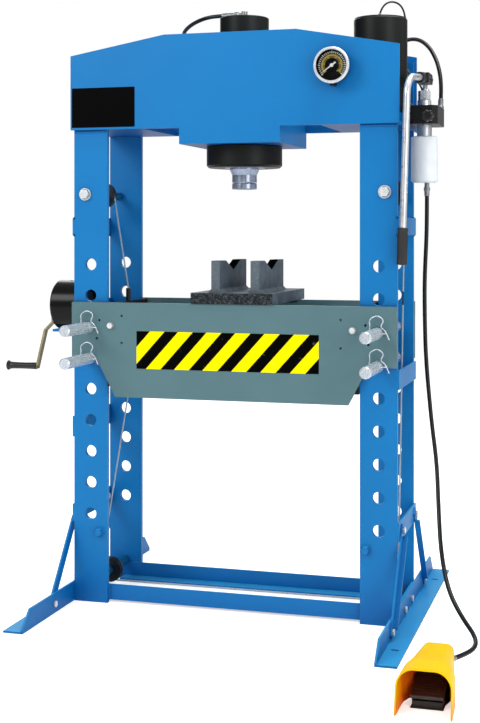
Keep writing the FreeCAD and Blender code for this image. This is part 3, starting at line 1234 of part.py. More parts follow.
def make_pedal():
    """A foot valve under a moulded hood, open to the front."""
    y0, y1 = guard_y
    w = guard_wall
    neck_half = guard_rear_half + guard_neck_extra
    stations = [(y0, guard_front_half, guard_height, guard_corner_r),
                (y0 + guard_front_reach, guard_front_half - 5.0, guard_height + 3.0, guard_corner_r - 4.0),
                (y0 + guard_neck_reach, neck_half, guard_rear_height + 6.0, 22.0),
                (y1, guard_rear_half, guard_rear_height, 20.0)]
    outer = Part.makeLoft([arch(h, t, c, y, 0.0) for y, h, t, c in stations], True, True)
    inside = [(y0 - 1.0, guard_front_half, guard_height, guard_corner_r)] + stations[1:3] \
        + [(y1 - w, guard_rear_half, guard_rear_height, 20.0)]
    inner = Part.makeLoft([arch(h - w, t - w, c - w, y, -5.0) for y, h, t, c in inside], True, True)
    hood = outer.cut(inner)
    far = 3 * guard_front_half
    lean = plate_yz([(y0 - 9, -9), (y0, 0), (y0 + 22.0, guard_height + 9.0), (y0 - 9, guard_height + 9.0)],
                    pedal_x - far, pedal_x + far)
    lift = plate_yz([(y0 + 4.0, -9), (y0 + 4.0, 0), (y0 + guard_toe, valve_base), (y1 + 9, valve_base), (y1 + 9, -9)],
                    pedal_x - far, pedal_x + far)
    inlet = rod(12.0, (pedal_inlet_x, y1 - 20, pedal_inlet_z), (pedal_inlet_x, y1 + 20, pedal_inlet_z))
    keep("pedal_guard", hood.cut(lean).cut(lift).cut(inlet))
    half = valve_width / 2.0 - treadle_plate - seat_gap
    ty0, ty1 = treadle_y
    swing = math.tan(math.radians(treadle_swing_deg))
    pivot_y, pivot_z = ty1 - 8.0, treadle_front_z + treadle_rise - 12.0
    body = plate_yz([(ty0 + 4, 0), (valve_y[1], 0), (valve_y[1], pivot_z + 20.0), (ty1 + 6, pivot_z + 20.0),
                     (ty1 + 3, pivot_z + 17.0), (ty1 + 3, pivot_z + 5.0), (pivot_y - 4, pivot_z + 5.0),
                     (pivot_y - 14, pivot_z - 5.0),
                     (ty0 + 4, treadle_front_z - treadle_plate - swing * (pivot_y - ty0) - 3.0)],
                    pedal_x - half, pedal_x + half)
    wide = valve_width / 2.0
    base = plate_xy([(pedal_x - wide, valve_y[0] + 10), (pedal_x + wide, valve_y[0] + 10),
                     (pedal_x + wide, y0 + guard_front_reach + 8.0), (pedal_x + neck_half, y0 + guard_neck_reach + 1.0),
                     (pedal_x + guard_rear_half, y1), (pedal_x - guard_rear_half, y1),
                     (pedal_x - neck_half, y0 + guard_neck_reach + 1.0), (pedal_x - wide, y0 + guard_front_reach + 8.0)],
                    0, valve_base)
    pin_bore = rod(treadle_pin_d + 2 * fit_gap, (pedal_x - far, pivot_y, pivot_z), (pedal_x + far, pivot_y, pivot_z))
    keep("pedal_valve", fused([body, base]).cut(pin_bore))
    top = [(ty0, treadle_front_z), (ty1, treadle_front_z + treadle_rise)]
    plate = plate_yz([top[0], top[1], (top[1][0], top[1][1] - treadle_plate), (top[0][0], top[0][1] - treadle_plate)],
                     pedal_x - valve_width / 2.0, pedal_x + valve_width / 2.0)
    apron = block((pedal_x - valve_width / 2.0, pedal_x + valve_width / 2.0), (ty0 - treadle_plate, ty0),
                  (treadle_front_z - treadle_plate - treadle_apron, treadle_front_z))
    skirts = []
    for x0 in (pedal_x - valve_width / 2.0, pedal_x + valve_width / 2.0 - treadle_plate):
        skirts.append(plate_yz([(ty0, treadle_front_z - treadle_plate - treadle_apron), top[0], top[1], (ty1, pivot_z - 6.0),
                                (pivot_y - 8.0, pivot_z - 6.0)], x0, x0 + treadle_plate))
    pin = rod(treadle_pin_d, (pedal_x - valve_width / 2.0 - 1.0, pivot_y, pivot_z),
              (pedal_x + valve_width / 2.0 + 1.0, pivot_y, pivot_z))
    keep("pedal_treadle", fused([plate, apron] + skirts + [pin]))
    print("treadle pivot", pivot_y, pivot_z)


# ----------------------------------------------------------------- build ----
make_uprights()
make_side_straps()
make_beam()
make_feet()
make_crossbars()
make_machine_bolts()
make_cylinder()
make_bed()
make_bed_pins()
make_vee_blocks()
make_pulleys()
make_cables()
make_winch()
make_tank()
make_pump()
make_pump_lever()
make_fittings()
make_hoses()
make_gauge()
make_pedal()

os.makedirs("parts", exist_ok=True)
for name in sorted(PARTS):
    PARTS[name].exportStep(os.path.join("parts", name + ".step"))
print(len(PARTS), "nodes")
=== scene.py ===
"""Looks of a floor-standing hydraulic workshop press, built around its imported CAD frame.

Lengths are in metres.  X runs to the operator's right, Y to the back and Z up.
"""

import math

import bpy
import numpy as np
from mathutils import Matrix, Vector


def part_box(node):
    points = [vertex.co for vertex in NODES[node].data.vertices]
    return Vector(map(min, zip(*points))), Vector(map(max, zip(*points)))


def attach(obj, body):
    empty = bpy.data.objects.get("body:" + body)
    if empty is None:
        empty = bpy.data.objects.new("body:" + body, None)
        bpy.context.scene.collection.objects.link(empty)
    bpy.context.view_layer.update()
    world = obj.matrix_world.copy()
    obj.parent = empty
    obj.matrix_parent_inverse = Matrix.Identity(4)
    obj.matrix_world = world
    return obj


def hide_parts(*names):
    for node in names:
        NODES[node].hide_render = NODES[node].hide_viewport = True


bl_info = {
    "name": "Workshop press",
    "version": (1, 0, 0),
    "blender": (4, 5, 0),
    "location": "View3D > Sidebar > Press",
    "description": "Finishes a workshop press: paint, hoses, dial, stripes, grips and stage",
    "category": "Object",
}

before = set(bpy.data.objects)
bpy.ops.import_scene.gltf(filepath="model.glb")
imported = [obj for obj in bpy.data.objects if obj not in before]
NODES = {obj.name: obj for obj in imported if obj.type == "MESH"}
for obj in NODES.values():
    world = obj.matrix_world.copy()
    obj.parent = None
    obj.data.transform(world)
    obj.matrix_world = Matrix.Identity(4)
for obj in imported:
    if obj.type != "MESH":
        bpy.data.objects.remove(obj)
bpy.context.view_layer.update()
TAU = 2.0 * math.pi


# ------------------------------------------------------------------ colours
def srgb(r, g, b):
    """Linear colour of an 8-bit screen colour: c / 12.92 below 0.04045, else a 2.4 power curve."""
    c = np.array([r, g, b]) / 255.0
    low, high = c / 12.92, ((c + 0.055) / 1.055) ** 2.4
    return tuple(float(v) for v in np.where(c <= 0.04045, low, high)) + (1.0,)


def scaled(colour, share):
    """A colour times a share; above 1 the share makes it paler."""
    return tuple(c * share for c in colour[:3]) + (1.0,)


WHITE = (1.0, 1.0, 1.0, 1.0)
BARE = srgb(150, 155, 160)
BARE_CAST = srgb(196, 200, 204)
WORN_BLACK = srgb(70, 74, 78)
# painted highlight on the sharp edges of zinc-plated parts
ZINC_EDGE_HIGHLIGHT = srgb(252, 252, 252)
FASTENER = srgb(222, 228, 230)
BRIGHT = srgb(226, 230, 234)
SLEEVE = srgb(24, 25, 26)
SPACER_BLUE = srgb(2, 78, 118)
SHADED_BLUE, LIT_BLUE = srgb(0, 62, 128), srgb(62, 174, 230)
# colour of the painted shade in crevices
CREVICE_SHADE = (0.01, 0.01, 0.012, 1.0)
# painted shade on the slopes of the V notches
NOTCH_SHADE = srgb(3, 4, 5)
BAR_END, PLATE_END, SCRAPED = srgb(20, 24, 28), srgb(86, 96, 104), srgb(140, 150, 158)
STRIPE_BLACK, STRIPE_SCUFF = srgb(3, 3, 3), srgb(150, 150, 120)

# ------------------------------------------------------------------ shading
# the span of a noise that is spread over a whole range of tone or roughness
CLOUD_SPAN, GRAIN_SPAN, SPECK_SPAN = (0.35, 0.65), (0.3, 0.7), (0.70, 0.74)
WEAR_AND_HIGHLIGHT_SPAN, SCUFF_SPAN, SCRAPE_SPAN = (0.42, 0.62), (0.64, 0.72), (0.50, 0.68)
SPECK_SCALE, WEAR_AND_HIGHLIGHT_SCALE, SCUFF_SCALE, SCRAPE_SCALE = 260.0, 60.0, 45.0, 210.0
# cosine between true and rounded normal: on the flat, and at a sharp edge
EDGE_SPAN = (0.985, 0.90)
# open share of a point's surroundings for the painted crevice shade: in a crevice, and clear of it
CREVICE_SPAN = (0.45, 0.9)
# upward part of the normal, for the painted shade and highlight by slope: where a slope begins to
# count, and where it counts in full
SLOPE_SPAN = (0.6, 0.9)
UNDER_SHARE, UPPER_SHARE, SCUFF_SHARE, SCRAPE_SHARE = 0.85, 0.6, 0.25, 0.6
STRIPE_BLUR = 0.004

# ------------------------------------------------------------------ places and sizes
# where one CAD node carries two finishes
PUMP_BLOCK_FLOOR = 1.520
BAR_TOP = 0.998
SLEEVE_SPAN = (0.960, 1.002)
SPACER_SPAN = (-0.140, 0.140)
SEAM = 0.0002

# the lever's grip runs from its foot towards the lever's corner
GRIP_FOOT, GRIP_AIM = (0.5445, -0.181, 1.094), (0.5615, -0.181, 1.652)
CRANK_GRIP_ROOT = (-0.713, -0.04371, 0.73968)
KNOB_ROOT = (0.608, -0.076, 1.541)

DIAL_X, DIAL_Y, DIAL_Z = 0.337, -0.208, 1.689
DIAL_RADIUS = 0.0478
DIAL_ZERO, DIAL_SWEEP, DIAL_STEPS = 222.0, 264.0, 60
# ticks: inner radius, then outer radius and width of a short and of a long one
WHITE_TICK = (0.0366, (0.0420, 0.0018), (0.0432, 0.0022))
AMBER_TICK = (0.0290, (0.0332, 0.0009), (0.0342, 0.0012))
# arcs: inner radius and width
AMBER_LINE, OLIVE_BAND, ARC_STEPS = (0.0286, 0.0006), (0.0222, 0.0122), 88
PRINT, TICK_PRINT, BAND_PRINT = 0.0001, 0.00015, 0.00005
NUMBERS, NUMBER_STEP = 6, 20
DIGIT_SIZE, DIGIT_RADIUS = 0.0066, 0.0252

BLACK_PANEL_X, BLACK_PANEL_Z = (-0.529, -0.313), (1.522, 1.649)
FILM = 0.0004
# how far a stripe slants along X per height, and the dark share of each period
STRIPE_LEAN, STRIPE_SHARE = 0.905, 0.483

BOLT_ACROSS, BOLT_WASHER = 0.0220, 0.0155
BOLT_PLACES = (("upright_front_left", -0.4384), ("upright_front_right", 0.4300))
BOLT_Z = 0.2260

TREADLE_X, TREADLE_HALF = 0.713, 0.034
TREADLE_FRONT, TREADLE_REAR = (-0.794, 0.033), (-0.676, 0.060)
TREADLE_RIBS, TREADLE_SPAN = 9, (0.12, 0.90)

# weld runs: short ones across the uprights' edges at the straps, upright ones at the
# crossbars' ends, level ones under the beam
STRAP_X, STRAP_Y, STRAP_Z, STRAP_HALF_RUN = 0.5265, 0.148, (1.177, 1.232), 0.0075
CROSSBAR_X, CROSSBAR_Y, CROSSBAR_Z = 0.4115, 0.1405, (0.008, 0.058)
BEAM_SEAM_X, BEAM_SEAM_Y, BEAM_SEAM_Z = (0.420, 0.520), -0.1555, 1.509
WELD_STEP, WELD_RISE = 0.0012, 0.12

# the camera fitted to the photograph, in pixels and metres
PHOTO_WIDTH, PHOTO_HEIGHT = 480.0, 723.0
FOCAL_PX, CENTRE_PX, HORIZON_PX = 1287.88, 270.01, 231.93
SENSOR_MM = 36.0
CAMERA_PLACE, CAMERA_YAW = (1.2011, -3.9858, 1.1880), 0.27289

# name, place, aim, size, power in watts
LAMPS = (
    ("key", (-3.2, -4.6, 4.2), (0.0, 0.0, 0.5), 2.6, 147.0),
    ("fill", (4.4, -3.6, 2.3), (0.2, 0.0, 0.5), 2.8, 78.0),
    ("back", (-1.5, 4.2, 3.8), (0.0, 0.0, 1.0), 3.0, 80.0),
    ("top", (1.1, -0.1, 3.4), (0.8, -0.2, 0.0), 1.6, 60.0),
)
FLOOR_X, FLOOR_Y = (-9.0, 9.0), (-9.0, 14.0)
# strengths: to light, then to the camera
FLOOR_GLOW, STUDIO_GLOW = (0.10, 0.55), (0.58, 1.0)
# how fast the bands of the studio's reflections follow each other across it
BAND_RATE = 9.0


# ------------------------------------------------------------------ nodes
def new_material(name):
    """A material, its node tree and its surface node."""
    mat = bpy.data.materials.new(name)
    mat.use_nodes = True
    tree = mat.node_tree
    return mat, tree, tree.nodes["Principled BSDF"]


def node(tree, kind, **values):
    """A node of one kind; each value sets the socket or the property of that name."""
    made = tree.nodes.new(kind)
    for key, value in values.items():
        if key in made.inputs:
            made.inputs[key].default_value = value
        else:
            setattr(made, key, value)
    return made


def feed(tree, value, socket):
    """Links a socket's value, or sets a plain one."""
    if isinstance(value, bpy.types.NodeSocket):
        tree.links.new(value, socket)
    else:
        socket.default_value = value


def arithmetic(tree, operation, *values):
    """One operation on sockets or plain numbers."""
    made = node(tree, "ShaderNodeMath", operation=operation)
    for value, socket in zip(values, made.inputs):
        feed(tree, value, socket)
    return made.outputs["Value"]


def mix(tree, fac, first, second):
    """Mix of two colours; each may be a socket or a plain colour."""
    made = node(tree, "ShaderNodeMix", data_type="RGBA", blend_type="MIX")
    for value, key in ((fac, 0), (first, 6), (second, 7)):
        feed(tree, value, made.inputs[key])
    return made.outputs[2]


def spread(tree, value, low, high, out_low=0.0, out_high=1.0):
    """Maps a value from low..high to out_low..out_high and holds it there outside."""
    made = node(tree, "ShaderNodeMapRange")
    made.clamp = True
    tree.links.new(value, made.inputs["Value"])
    for key, number in (("From Min", low), ("From Max", high),
                        ("To Min", out_low), ("To Max", out_high)):
        made.inputs[key].default_value = number
    return made.outputs["Result"]


def axes(tree, kind, output):
    """The X, Y and Z sockets of what a node of this kind puts out."""
    split = node(tree, "ShaderNodeSeparateXYZ")
    tree.links.new(node(tree, kind).outputs[output], split.inputs[0])
    return split.outputs


def place_axes(tree):
    """Place of the shaded point in its object."""
    return axes(tree, "ShaderNodeTexCoord", "Object")


def normal_axes(tree):
    """Direction of the flat face, without bump or smoothing."""
    return axes(tree, "ShaderNodeNewGeometry", "True Normal")


def noise(tree, scale, detail=4.0, stretch=(1.0, 1.0, 1.0), rough=0.55):
    """Noise on object coordinates, in metres, stretched along an axis where asked."""
    coord = node(tree, "ShaderNodeTexCoord")
    mapping = node(tree, "ShaderNodeMapping", Scale=stretch)
    made = node(tree, "ShaderNodeTexNoise", Scale=scale, Detail=detail, Roughness=rough)
    tree.links.new(coord.outputs["Object"], mapping.inputs["Vector"])
    tree.links.new(mapping.outputs["Vector"], made.inputs["Vector"])
    return made.outputs["Fac"]


def edge_mask(tree, radius):
    """The rounded normal, and a mask that is 1 near sharp edges, where it leaves the true one."""
    bevel = node(tree, "ShaderNodeBevel", samples=4, Radius=radius)
    geometry = node(tree, "ShaderNodeNewGeometry")
    dot = node(tree, "ShaderNodeVectorMath", operation="DOT_PRODUCT")
    tree.links.new(bevel.outputs["Normal"], dot.inputs[0])
    tree.links.new(geometry.outputs["Normal"], dot.inputs[1])
    return bevel.outputs["Normal"], spread(tree, dot.outputs["Value"], *EDGE_SPAN)


# ------------------------------------------------------------------ finishes
def finish(name, colour, rough=0.4, metallic=0.0, variation=0.06, cloud=9.0, grain=900.0,
           bump=0.00004, stretch=(1.0, 1.0, 1.0), edge=None, edge_radius=0.0012, wear_and_highlight=0.4,
           spots=0.0, specular=0.5, crevice_shade=0.0, crevice_shade_tone=CREVICE_SHADE):
    """A surface finish: cloudy tone, fine grain, softened edges in an edge colour, which is wear on
    some finishes and a painted highlight on others, and painted shade in crevices.

    cloud and grain are noise scales per metre; bump, edge_radius and the reach of the painted
    crevice shade are lengths.
    A bump, edge_radius, spots or painted crevice shade of reach 0 leaves that layer out.
    """
    mat, tree, bsdf = new_material(name)
    cloudy = spread(tree, noise(tree, cloud, 3.0), *CLOUD_SPAN)
    tone = mix(tree, cloudy, scaled(colour, 1.0 - variation), scaled(colour, 1.0 + variation))
    fine = noise(tree, grain, 3.0, stretch)
    if spots:
        speck = spread(tree, noise(tree, SPECK_SCALE, 5.0, rough=0.7), *SPECK_SPAN)
        tone = mix(tree, speck, tone, scaled(colour, 1.0 - spots))
    rounded, mask = edge_mask(tree, edge_radius) if edge_radius else (None, None)
    # edge colour on sharp edges, broken up by noise: wear on most finishes, a painted highlight on
    # the frame and the zinc parts
    if edge is not None:
        worn_and_lit = spread(tree, noise(tree, WEAR_AND_HIGHLIGHT_SCALE), *WEAR_AND_HIGHLIGHT_SPAN, 0.0, wear_and_highlight)
        tone = mix(tree, arithmetic(tree, "MULTIPLY", mask, worn_and_lit), tone, edge)
    # painted shade: the colour turns to the crevice tone where ambient occlusion finds the
    # surroundings closed in
    if crevice_shade:
        shade = node(tree, "ShaderNodeAmbientOcclusion", samples=6, Distance=crevice_shade)
        tone = mix(tree, spread(tree, shade.outputs["AO"], *CREVICE_SPAN), crevice_shade_tone, tone)
    tree.links.new(tone, bsdf.inputs["Base Color"])
    tree.links.new(spread(tree, fine, *GRAIN_SPAN, max(rough - 0.06, 0.02), rough + 0.08),
                   bsdf.inputs["Roughness"])
    if bump:
        height = node(tree, "ShaderNodeBump", Strength=0.8, Distance=bump)
        tree.links.new(fine, height.inputs["Height"])
        if rounded is not None:
            tree.links.new(rounded, height.inputs["Normal"])
        tree.links.new(height.outputs["Normal"], bsdf.inputs["Normal"])
    bsdf.inputs["Metallic"].default_value = metallic
    bsdf.inputs["Specular IOR Level"].default_value = specular
    return mat


def base_socket(material):
    """The tree, its surface node and the socket that feeds the base colour."""
    tree = material.node_tree
    bsdf = tree.nodes["Principled BSDF"]
    return tree, bsdf, bsdf.inputs["Base Color"].links[0].from_socket


def darken_notch(material):
    """Painted shade on the slopes of a V notch: near black, with little specular, on faces whose
    normal leans both along Y and up.
    Faces towards -Y are scraped in patches, and pale above the bars' top."""
    tree, bsdf, tone = base_socket(material)
    normal = normal_axes(tree)
    lean = arithmetic(tree, "ABSOLUTE", normal["Y"])
    slope = spread(tree, arithmetic(tree, "MULTIPLY", lean, normal["Z"]), 0.15, 0.2)
    tone = mix(tree, slope, tone, NOTCH_SHADE)
    tree.links.new(spread(tree, slope, 0.0, 1.0, 0.15, 0.0), bsdf.inputs["Specular IOR Level"])
    front = spread(tree, normal["Y"], -0.9, -0.95)
    high = spread(tree, place_axes(tree)["Z"], BAR_TOP - 0.001, BAR_TOP + 0.001)
    tone = mix(tree, front, tone, mix(tree, high, BAR_END, PLATE_END))
    patches = spread(tree, noise(tree, SCRAPE_SCALE, 9.0, rough=0.8), *SCRAPE_SPAN,
                     0.0, SCRAPE_SHARE)
    tone = mix(tree, arithmetic(tree, "MULTIPLY", front, patches), tone, SCRAPED)
    tree.links.new(tone, bsdf.inputs["Base Color"])


def shade_by_slope(material, under, upper):
    """Painted shade on faces that look down and a painted highlight on faces that look up: deeper
    colour below, paler above.
    """
    tree, bsdf, tone = base_socket(material)
    up = normal_axes(tree)["Z"]
    start, full = SLOPE_SPAN
    tone = mix(tree, spread(tree, up, -start, -full, 0.0, UNDER_SHARE), tone, under)
    tone = mix(tree, spread(tree, up, start, full, 0.0, UPPER_SHARE), tone, upper)
    tree.links.new(tone, bsdf.inputs["Base Color"])


def bright_below(material, height, colour):
    """Bare machined metal on what lies below a height."""
    tree, bsdf, tone = base_socket(material)
    mask = spread(tree, place_axes(tree)["Z"], height - SEAM, height - 2.0 * SEAM)
    tree.links.new(mix(tree, mask, tone, colour), bsdf.inputs["Base Color"])
    tree.links.new(mask, bsdf.inputs["Metallic"])


def coat_between(material, axis, span, colour, metal):
    """A dull coat between two places along an axis; metal is the bare rest's metallic share."""
    tree, bsdf, tone = base_socket(material)
    place = place_axes(tree)[axis]
    inside = arithmetic(tree, "MULTIPLY", spread(tree, place, span[0] - SEAM, span[0]),
                        spread(tree, place, span[1] + SEAM, span[1]))
    tree.links.new(mix(tree, inside, tone, colour), bsdf.inputs["Base Color"])
    tree.links.new(spread(tree, inside, 0.0, 1.0, metal, 0.0), bsdf.inputs["Metallic"])


def stripes(name, first, second, period, lean, share, start_x, top_z):
    """Slanting stripes: the place along X, pushed left as Z falls, taken modulo the period."""
    mat, tree, bsdf = new_material(name)
    place = place_axes(tree)
    fall = arithmetic(tree, "MULTIPLY_ADD", place["Z"], -lean, lean * top_z - start_x)
    turns = arithmetic(tree, "DIVIDE", arithmetic(tree, "ADD", place["X"], fall), period)
    mask = spread(tree, arithmetic(tree, "FRACT", turns), share - STRIPE_BLUR,
                  share + STRIPE_BLUR)
    scuffs = spread(tree, noise(tree, SCUFF_SCALE, 6.0, rough=0.65), *SCUFF_SPAN,
                    0.0, SCUFF_SHARE)
    tone = mix(tree, scuffs, mix(tree, mask, first, second), STRIPE_SCUFF)
    tree.links.new(tone, bsdf.inputs["Base Color"])
    tree.links.new(spread(tree, noise(tree, 500.0), *GRAIN_SPAN, 0.28, 0.42),
                   bsdf.inputs["Roughness"])
    bsdf.inputs["Specular IOR Level"].default_value = 0.03
    return mat


def clear(name, colour, rough):
    """Clear window glass with a faint film of dust."""
    mat, tree, bsdf = new_material(name)
    bsdf.inputs["Transmission Weight"].default_value = 1.0
    bsdf.inputs["IOR"].default_value = 1.12
    dust = mix(tree, spread(tree, noise(tree, 70.0), 0.4, 0.7), colour, scaled(colour, 0.94))
    tree.links.new(dust, bsdf.inputs["Base Color"])
    tree.links.new(spread(tree, noise(tree, 200.0), *GRAIN_SPAN, rough, rough + 0.04),
                   bsdf.inputs["Roughness"])
    return mat


# ------------------------------------------------------------------ meshes
def link(made):
    """Puts an object into the scene."""
    bpy.context.scene.collection.objects.link(made)
    return made


def mesh_object(name, points, faces, smooth=True):
    """An object from an array of points and lists of point numbers."""
    mesh = bpy.data.meshes.new(name)
    mesh.from_pydata([tuple(p) for p in points.tolist()], [], faces)
    mesh.update()
    if smooth:
        mesh.polygons.foreach_set("use_smooth", [True] * len(mesh.polygons))
    return link(bpy.data.objects.new(name, mesh))


def grid_faces(rows, columns):
    """Quads between neighbouring rows and columns of a point grid whose columns close a ring."""
    i, j = np.meshgrid(np.arange(rows - 1), np.arange(columns), indexing="ij")
    i2, j2 = i + 1, (j + 1) % columns
    quads = np.stack([i * columns + j, i * columns + j2, i2 * columns + j2, i2 * columns + j],
                     axis=-1)
    return quads.reshape(-1, 4).tolist()


def basis(axis):
    """An axis of length 1 and two unit vectors square to it and to each other, right-handed."""
    a = np.asarray(axis, float)
    a /= np.linalg.norm(a)
    helper = np.array([0.0, 0.0, 1.0]) if abs(a[2]) < 0.9 else np.array([1.0, 0.0, 0.0])
    u = np.cross(helper, a)
    u /= np.linalg.norm(u)
    return a, u, np.cross(a, u)


def round_surface(name, base, axis, along, radius, sides):
    """Revolved surface: base + s * axis + r(s, t) * (cos t * u + sin t * v), s down the rows.
    radius gives r for the whole grid of s and t; a cap closes each end row at the axis."""
    a, u, v = basis(axis)
    t = np.linspace(0.0, TAU, sides, endpoint=False)
    s = np.asarray(along, float)[:, None] * np.ones_like(t)[None, :]
    r = radius(s, t[None, :] * np.ones_like(s))
    ring = np.cos(t)[None, :, None] * u + np.sin(t)[None, :, None] * v
    points = np.asarray(base, float) + s[..., None] * a + r[..., None] * ring
    points = points.reshape(-1, 3)
    faces = grid_faces(len(along), sides)
    for row, flip in ((0, True), (len(along) - 1, False)):
        centre = len(points)
        points = np.vstack([points, np.asarray(base, float) + along[row] * a])
        k = np.arange(sides)
        first, second = row * sides + k, row * sides + (k + 1) % sides
        order = (second, first) if flip else (first, second)
        faces += np.stack([np.full(sides, centre), order[0], order[1]], axis=-1).tolist()
    return mesh_object(name, points, faces)


def swept(name, path, radius, sides, up):
    """Tube: each path point carries a ring of radius(s) around the path's direction there."""
    path = np.asarray(path, float)
    ahead = np.gradient(path, axis=0)
    ahead /= np.linalg.norm(ahead, axis=1)[:, None]
    side = np.cross(np.asarray(up, float), ahead)
    side /= np.linalg.norm(side, axis=1)[:, None]
    third = np.cross(ahead, side)
    t = np.linspace(0.0, TAU, sides, endpoint=False)
    s = np.concatenate([[0.0], np.cumsum(np.linalg.norm(np.diff(path, axis=0), axis=1))])
    r = radius(s[:, None] * np.ones_like(t))
    ring = (np.cos(t)[None, :, None] * side[:, None, :]
            + np.sin(t)[None, :, None] * third[:, None, :])
    points = (path[:, None, :] + r[..., None] * ring).reshape(-1, 3)
    faces = grid_faces(len(path), sides)
    faces.append(list(range(sides))[::-1])
    faces.append([(len(path) - 1) * sides + k for k in range(sides)])
    return mesh_object(name, points, faces)


def panel(name, x, y, z, thickness, corner):
    """Flat plate facing -Y: a rounded rectangle, its corners quarter circles, given a back."""
    t = np.linspace(0.0, math.pi / 2.0, 7)
    cx, cz = (x[0] + x[1]) / 2.0, (z[0] + z[1]) / 2.0
    hx, hz = (x[1] - x[0]) / 2.0 - corner, (z[1] - z[0]) / 2.0 - corner
    turn = np.concatenate([t + k * math.pi / 2.0 for k in range(4)])
    sx = np.repeat([1.0, -1.0, -1.0, 1.0], len(t))
    sz = np.repeat([1.0, 1.0, -1.0, -1.0], len(t))
    px, pz = cx + sx * hx + corner * np.cos(turn), cz + sz * hz + corner * np.sin(turn)
    n = len(px)
    front = np.stack([px, np.full(n, y - thickness), pz], axis=-1)
    back = np.stack([px, np.full(n, y), pz], axis=-1)
    faces = [list(range(n)), list(range(2 * n - 1, n - 1, -1))]
    faces += [[(k + 1) % n, k, n + k, n + (k + 1) % n] for k in range(n)]
    return mesh_object(name, np.vstack([front, back]), faces, smooth=False)


def flat_marks(name, outlines, y, thickness):
    """Thin printed marks facing -Y, each an outline of (x, z) points, counter-clockwise as seen."""
    points, faces = [], []
    for outline in outlines:
        start, n = len(points), len(outline)
        points += [(x, y - thickness, z) for x, z in outline] + [(x, y, z) for x, z in outline]
        faces.append([start + k for k in range(n)])
        faces.append([start + n + k for k in range(n)][::-1])
        faces += [[start + (k + 1) % n, start + k, start + n + k, start + n + (k + 1) % n]
                  for k in range(n)]
    return mesh_object(name, np.array(points), faces, smooth=False)


def join(name, pieces):
    """One object from several: the meshes' points and faces in a row."""
    points, faces = [], []
    for piece in pieces:
        start = len(points)
        points += [tuple(v.co) for v in piece.data.vertices]
        faces += [[start + k for k in face.vertices] for face in piece.data.polygons]
        old = piece.data
        bpy.data.objects.remove(piece)
        bpy.data.meshes.remove(old)
    return mesh_object(name, np.array(points), faces)


def dress(piece, body, slot, material, *replaced):
    """Gives a piece its body and its material, and hides the nodes it stands for; slot is not used.
    """
    piece.data.materials.clear()
    piece.data.materials.append(material)
    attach(piece, body)
    if replaced:
        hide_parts(*replaced)
    return piece


def paint_nodes(material, *names):
    """Gives CAD nodes their material."""
    for name in names:
        for slot in NODES[name].material_slots:
            slot.material = material


# ------------------------------------------------------------------ settings
def colour_setting(label, words, value):
    """A colour that the sidebar shows."""
    return bpy.props.FloatVectorProperty(name=label, description=words, subtype="COLOR", size=4,
                                         min=0.0, max=1.0, default=value)


def length_setting(label, words, value):
    """A length that the sidebar shows."""
    return bpy.props.FloatProperty(name=label, description=words, default=value, unit="LENGTH",
                                   min=0.0)


class PressColours(bpy.types.PropertyGroup):
    """Colours of the painted and moulded pieces"""
    frame: colour_setting("Frame enamel", "Blue of the frame, beam and feet", srgb(1, 115, 181))
    bed: colour_setting("Bed enamel", "Grey-green of the bed plates", srgb(84, 117, 124))
    block: colour_setting("Block enamel", "Slate of the V blocks", srgb(82, 96, 108))
    black: colour_setting("Black coat", "Black of tank, barrel, collar and bed ends",
                          srgb(19, 21, 20))
    hood: colour_setting("Pedal hood", "Yellow of the pedal hood", srgb(242, 196, 0))
    stripe: colour_setting("Stripe", "Yellow of the hazard stripes", srgb(255, 240, 0))
    motor: colour_setting("Air motor", "Pale shell of the air motor", srgb(220, 226, 231))


class PressSizes(bpy.types.PropertyGroup):
    """Sizes of the panels, welds and ribs"""
    stripe_period: length_setting("Stripe period", "Distance along X between stripes", 0.094)
    stripe_left: length_setting("Stripe panel, left", "Reach from the middle of the bed", 0.305)
    stripe_right: length_setting("Stripe panel, right", "Reach from the middle of the bed", 0.288)
    stripe_low: length_setting("Stripe panel foot", "Height of its lower edge", 0.755)
    stripe_top: length_setting("Stripe panel top", "Height of its upper edge", 0.874)
    weld_width: length_setting("Weld width", "Across one weld bead", 0.007)
    weld_ripple: length_setting("Weld ripple", "Between two ripples of a bead", 0.005)
    rib_height: length_setting("Treadle rib", "Height of the treadle's ribs", 0.0012)


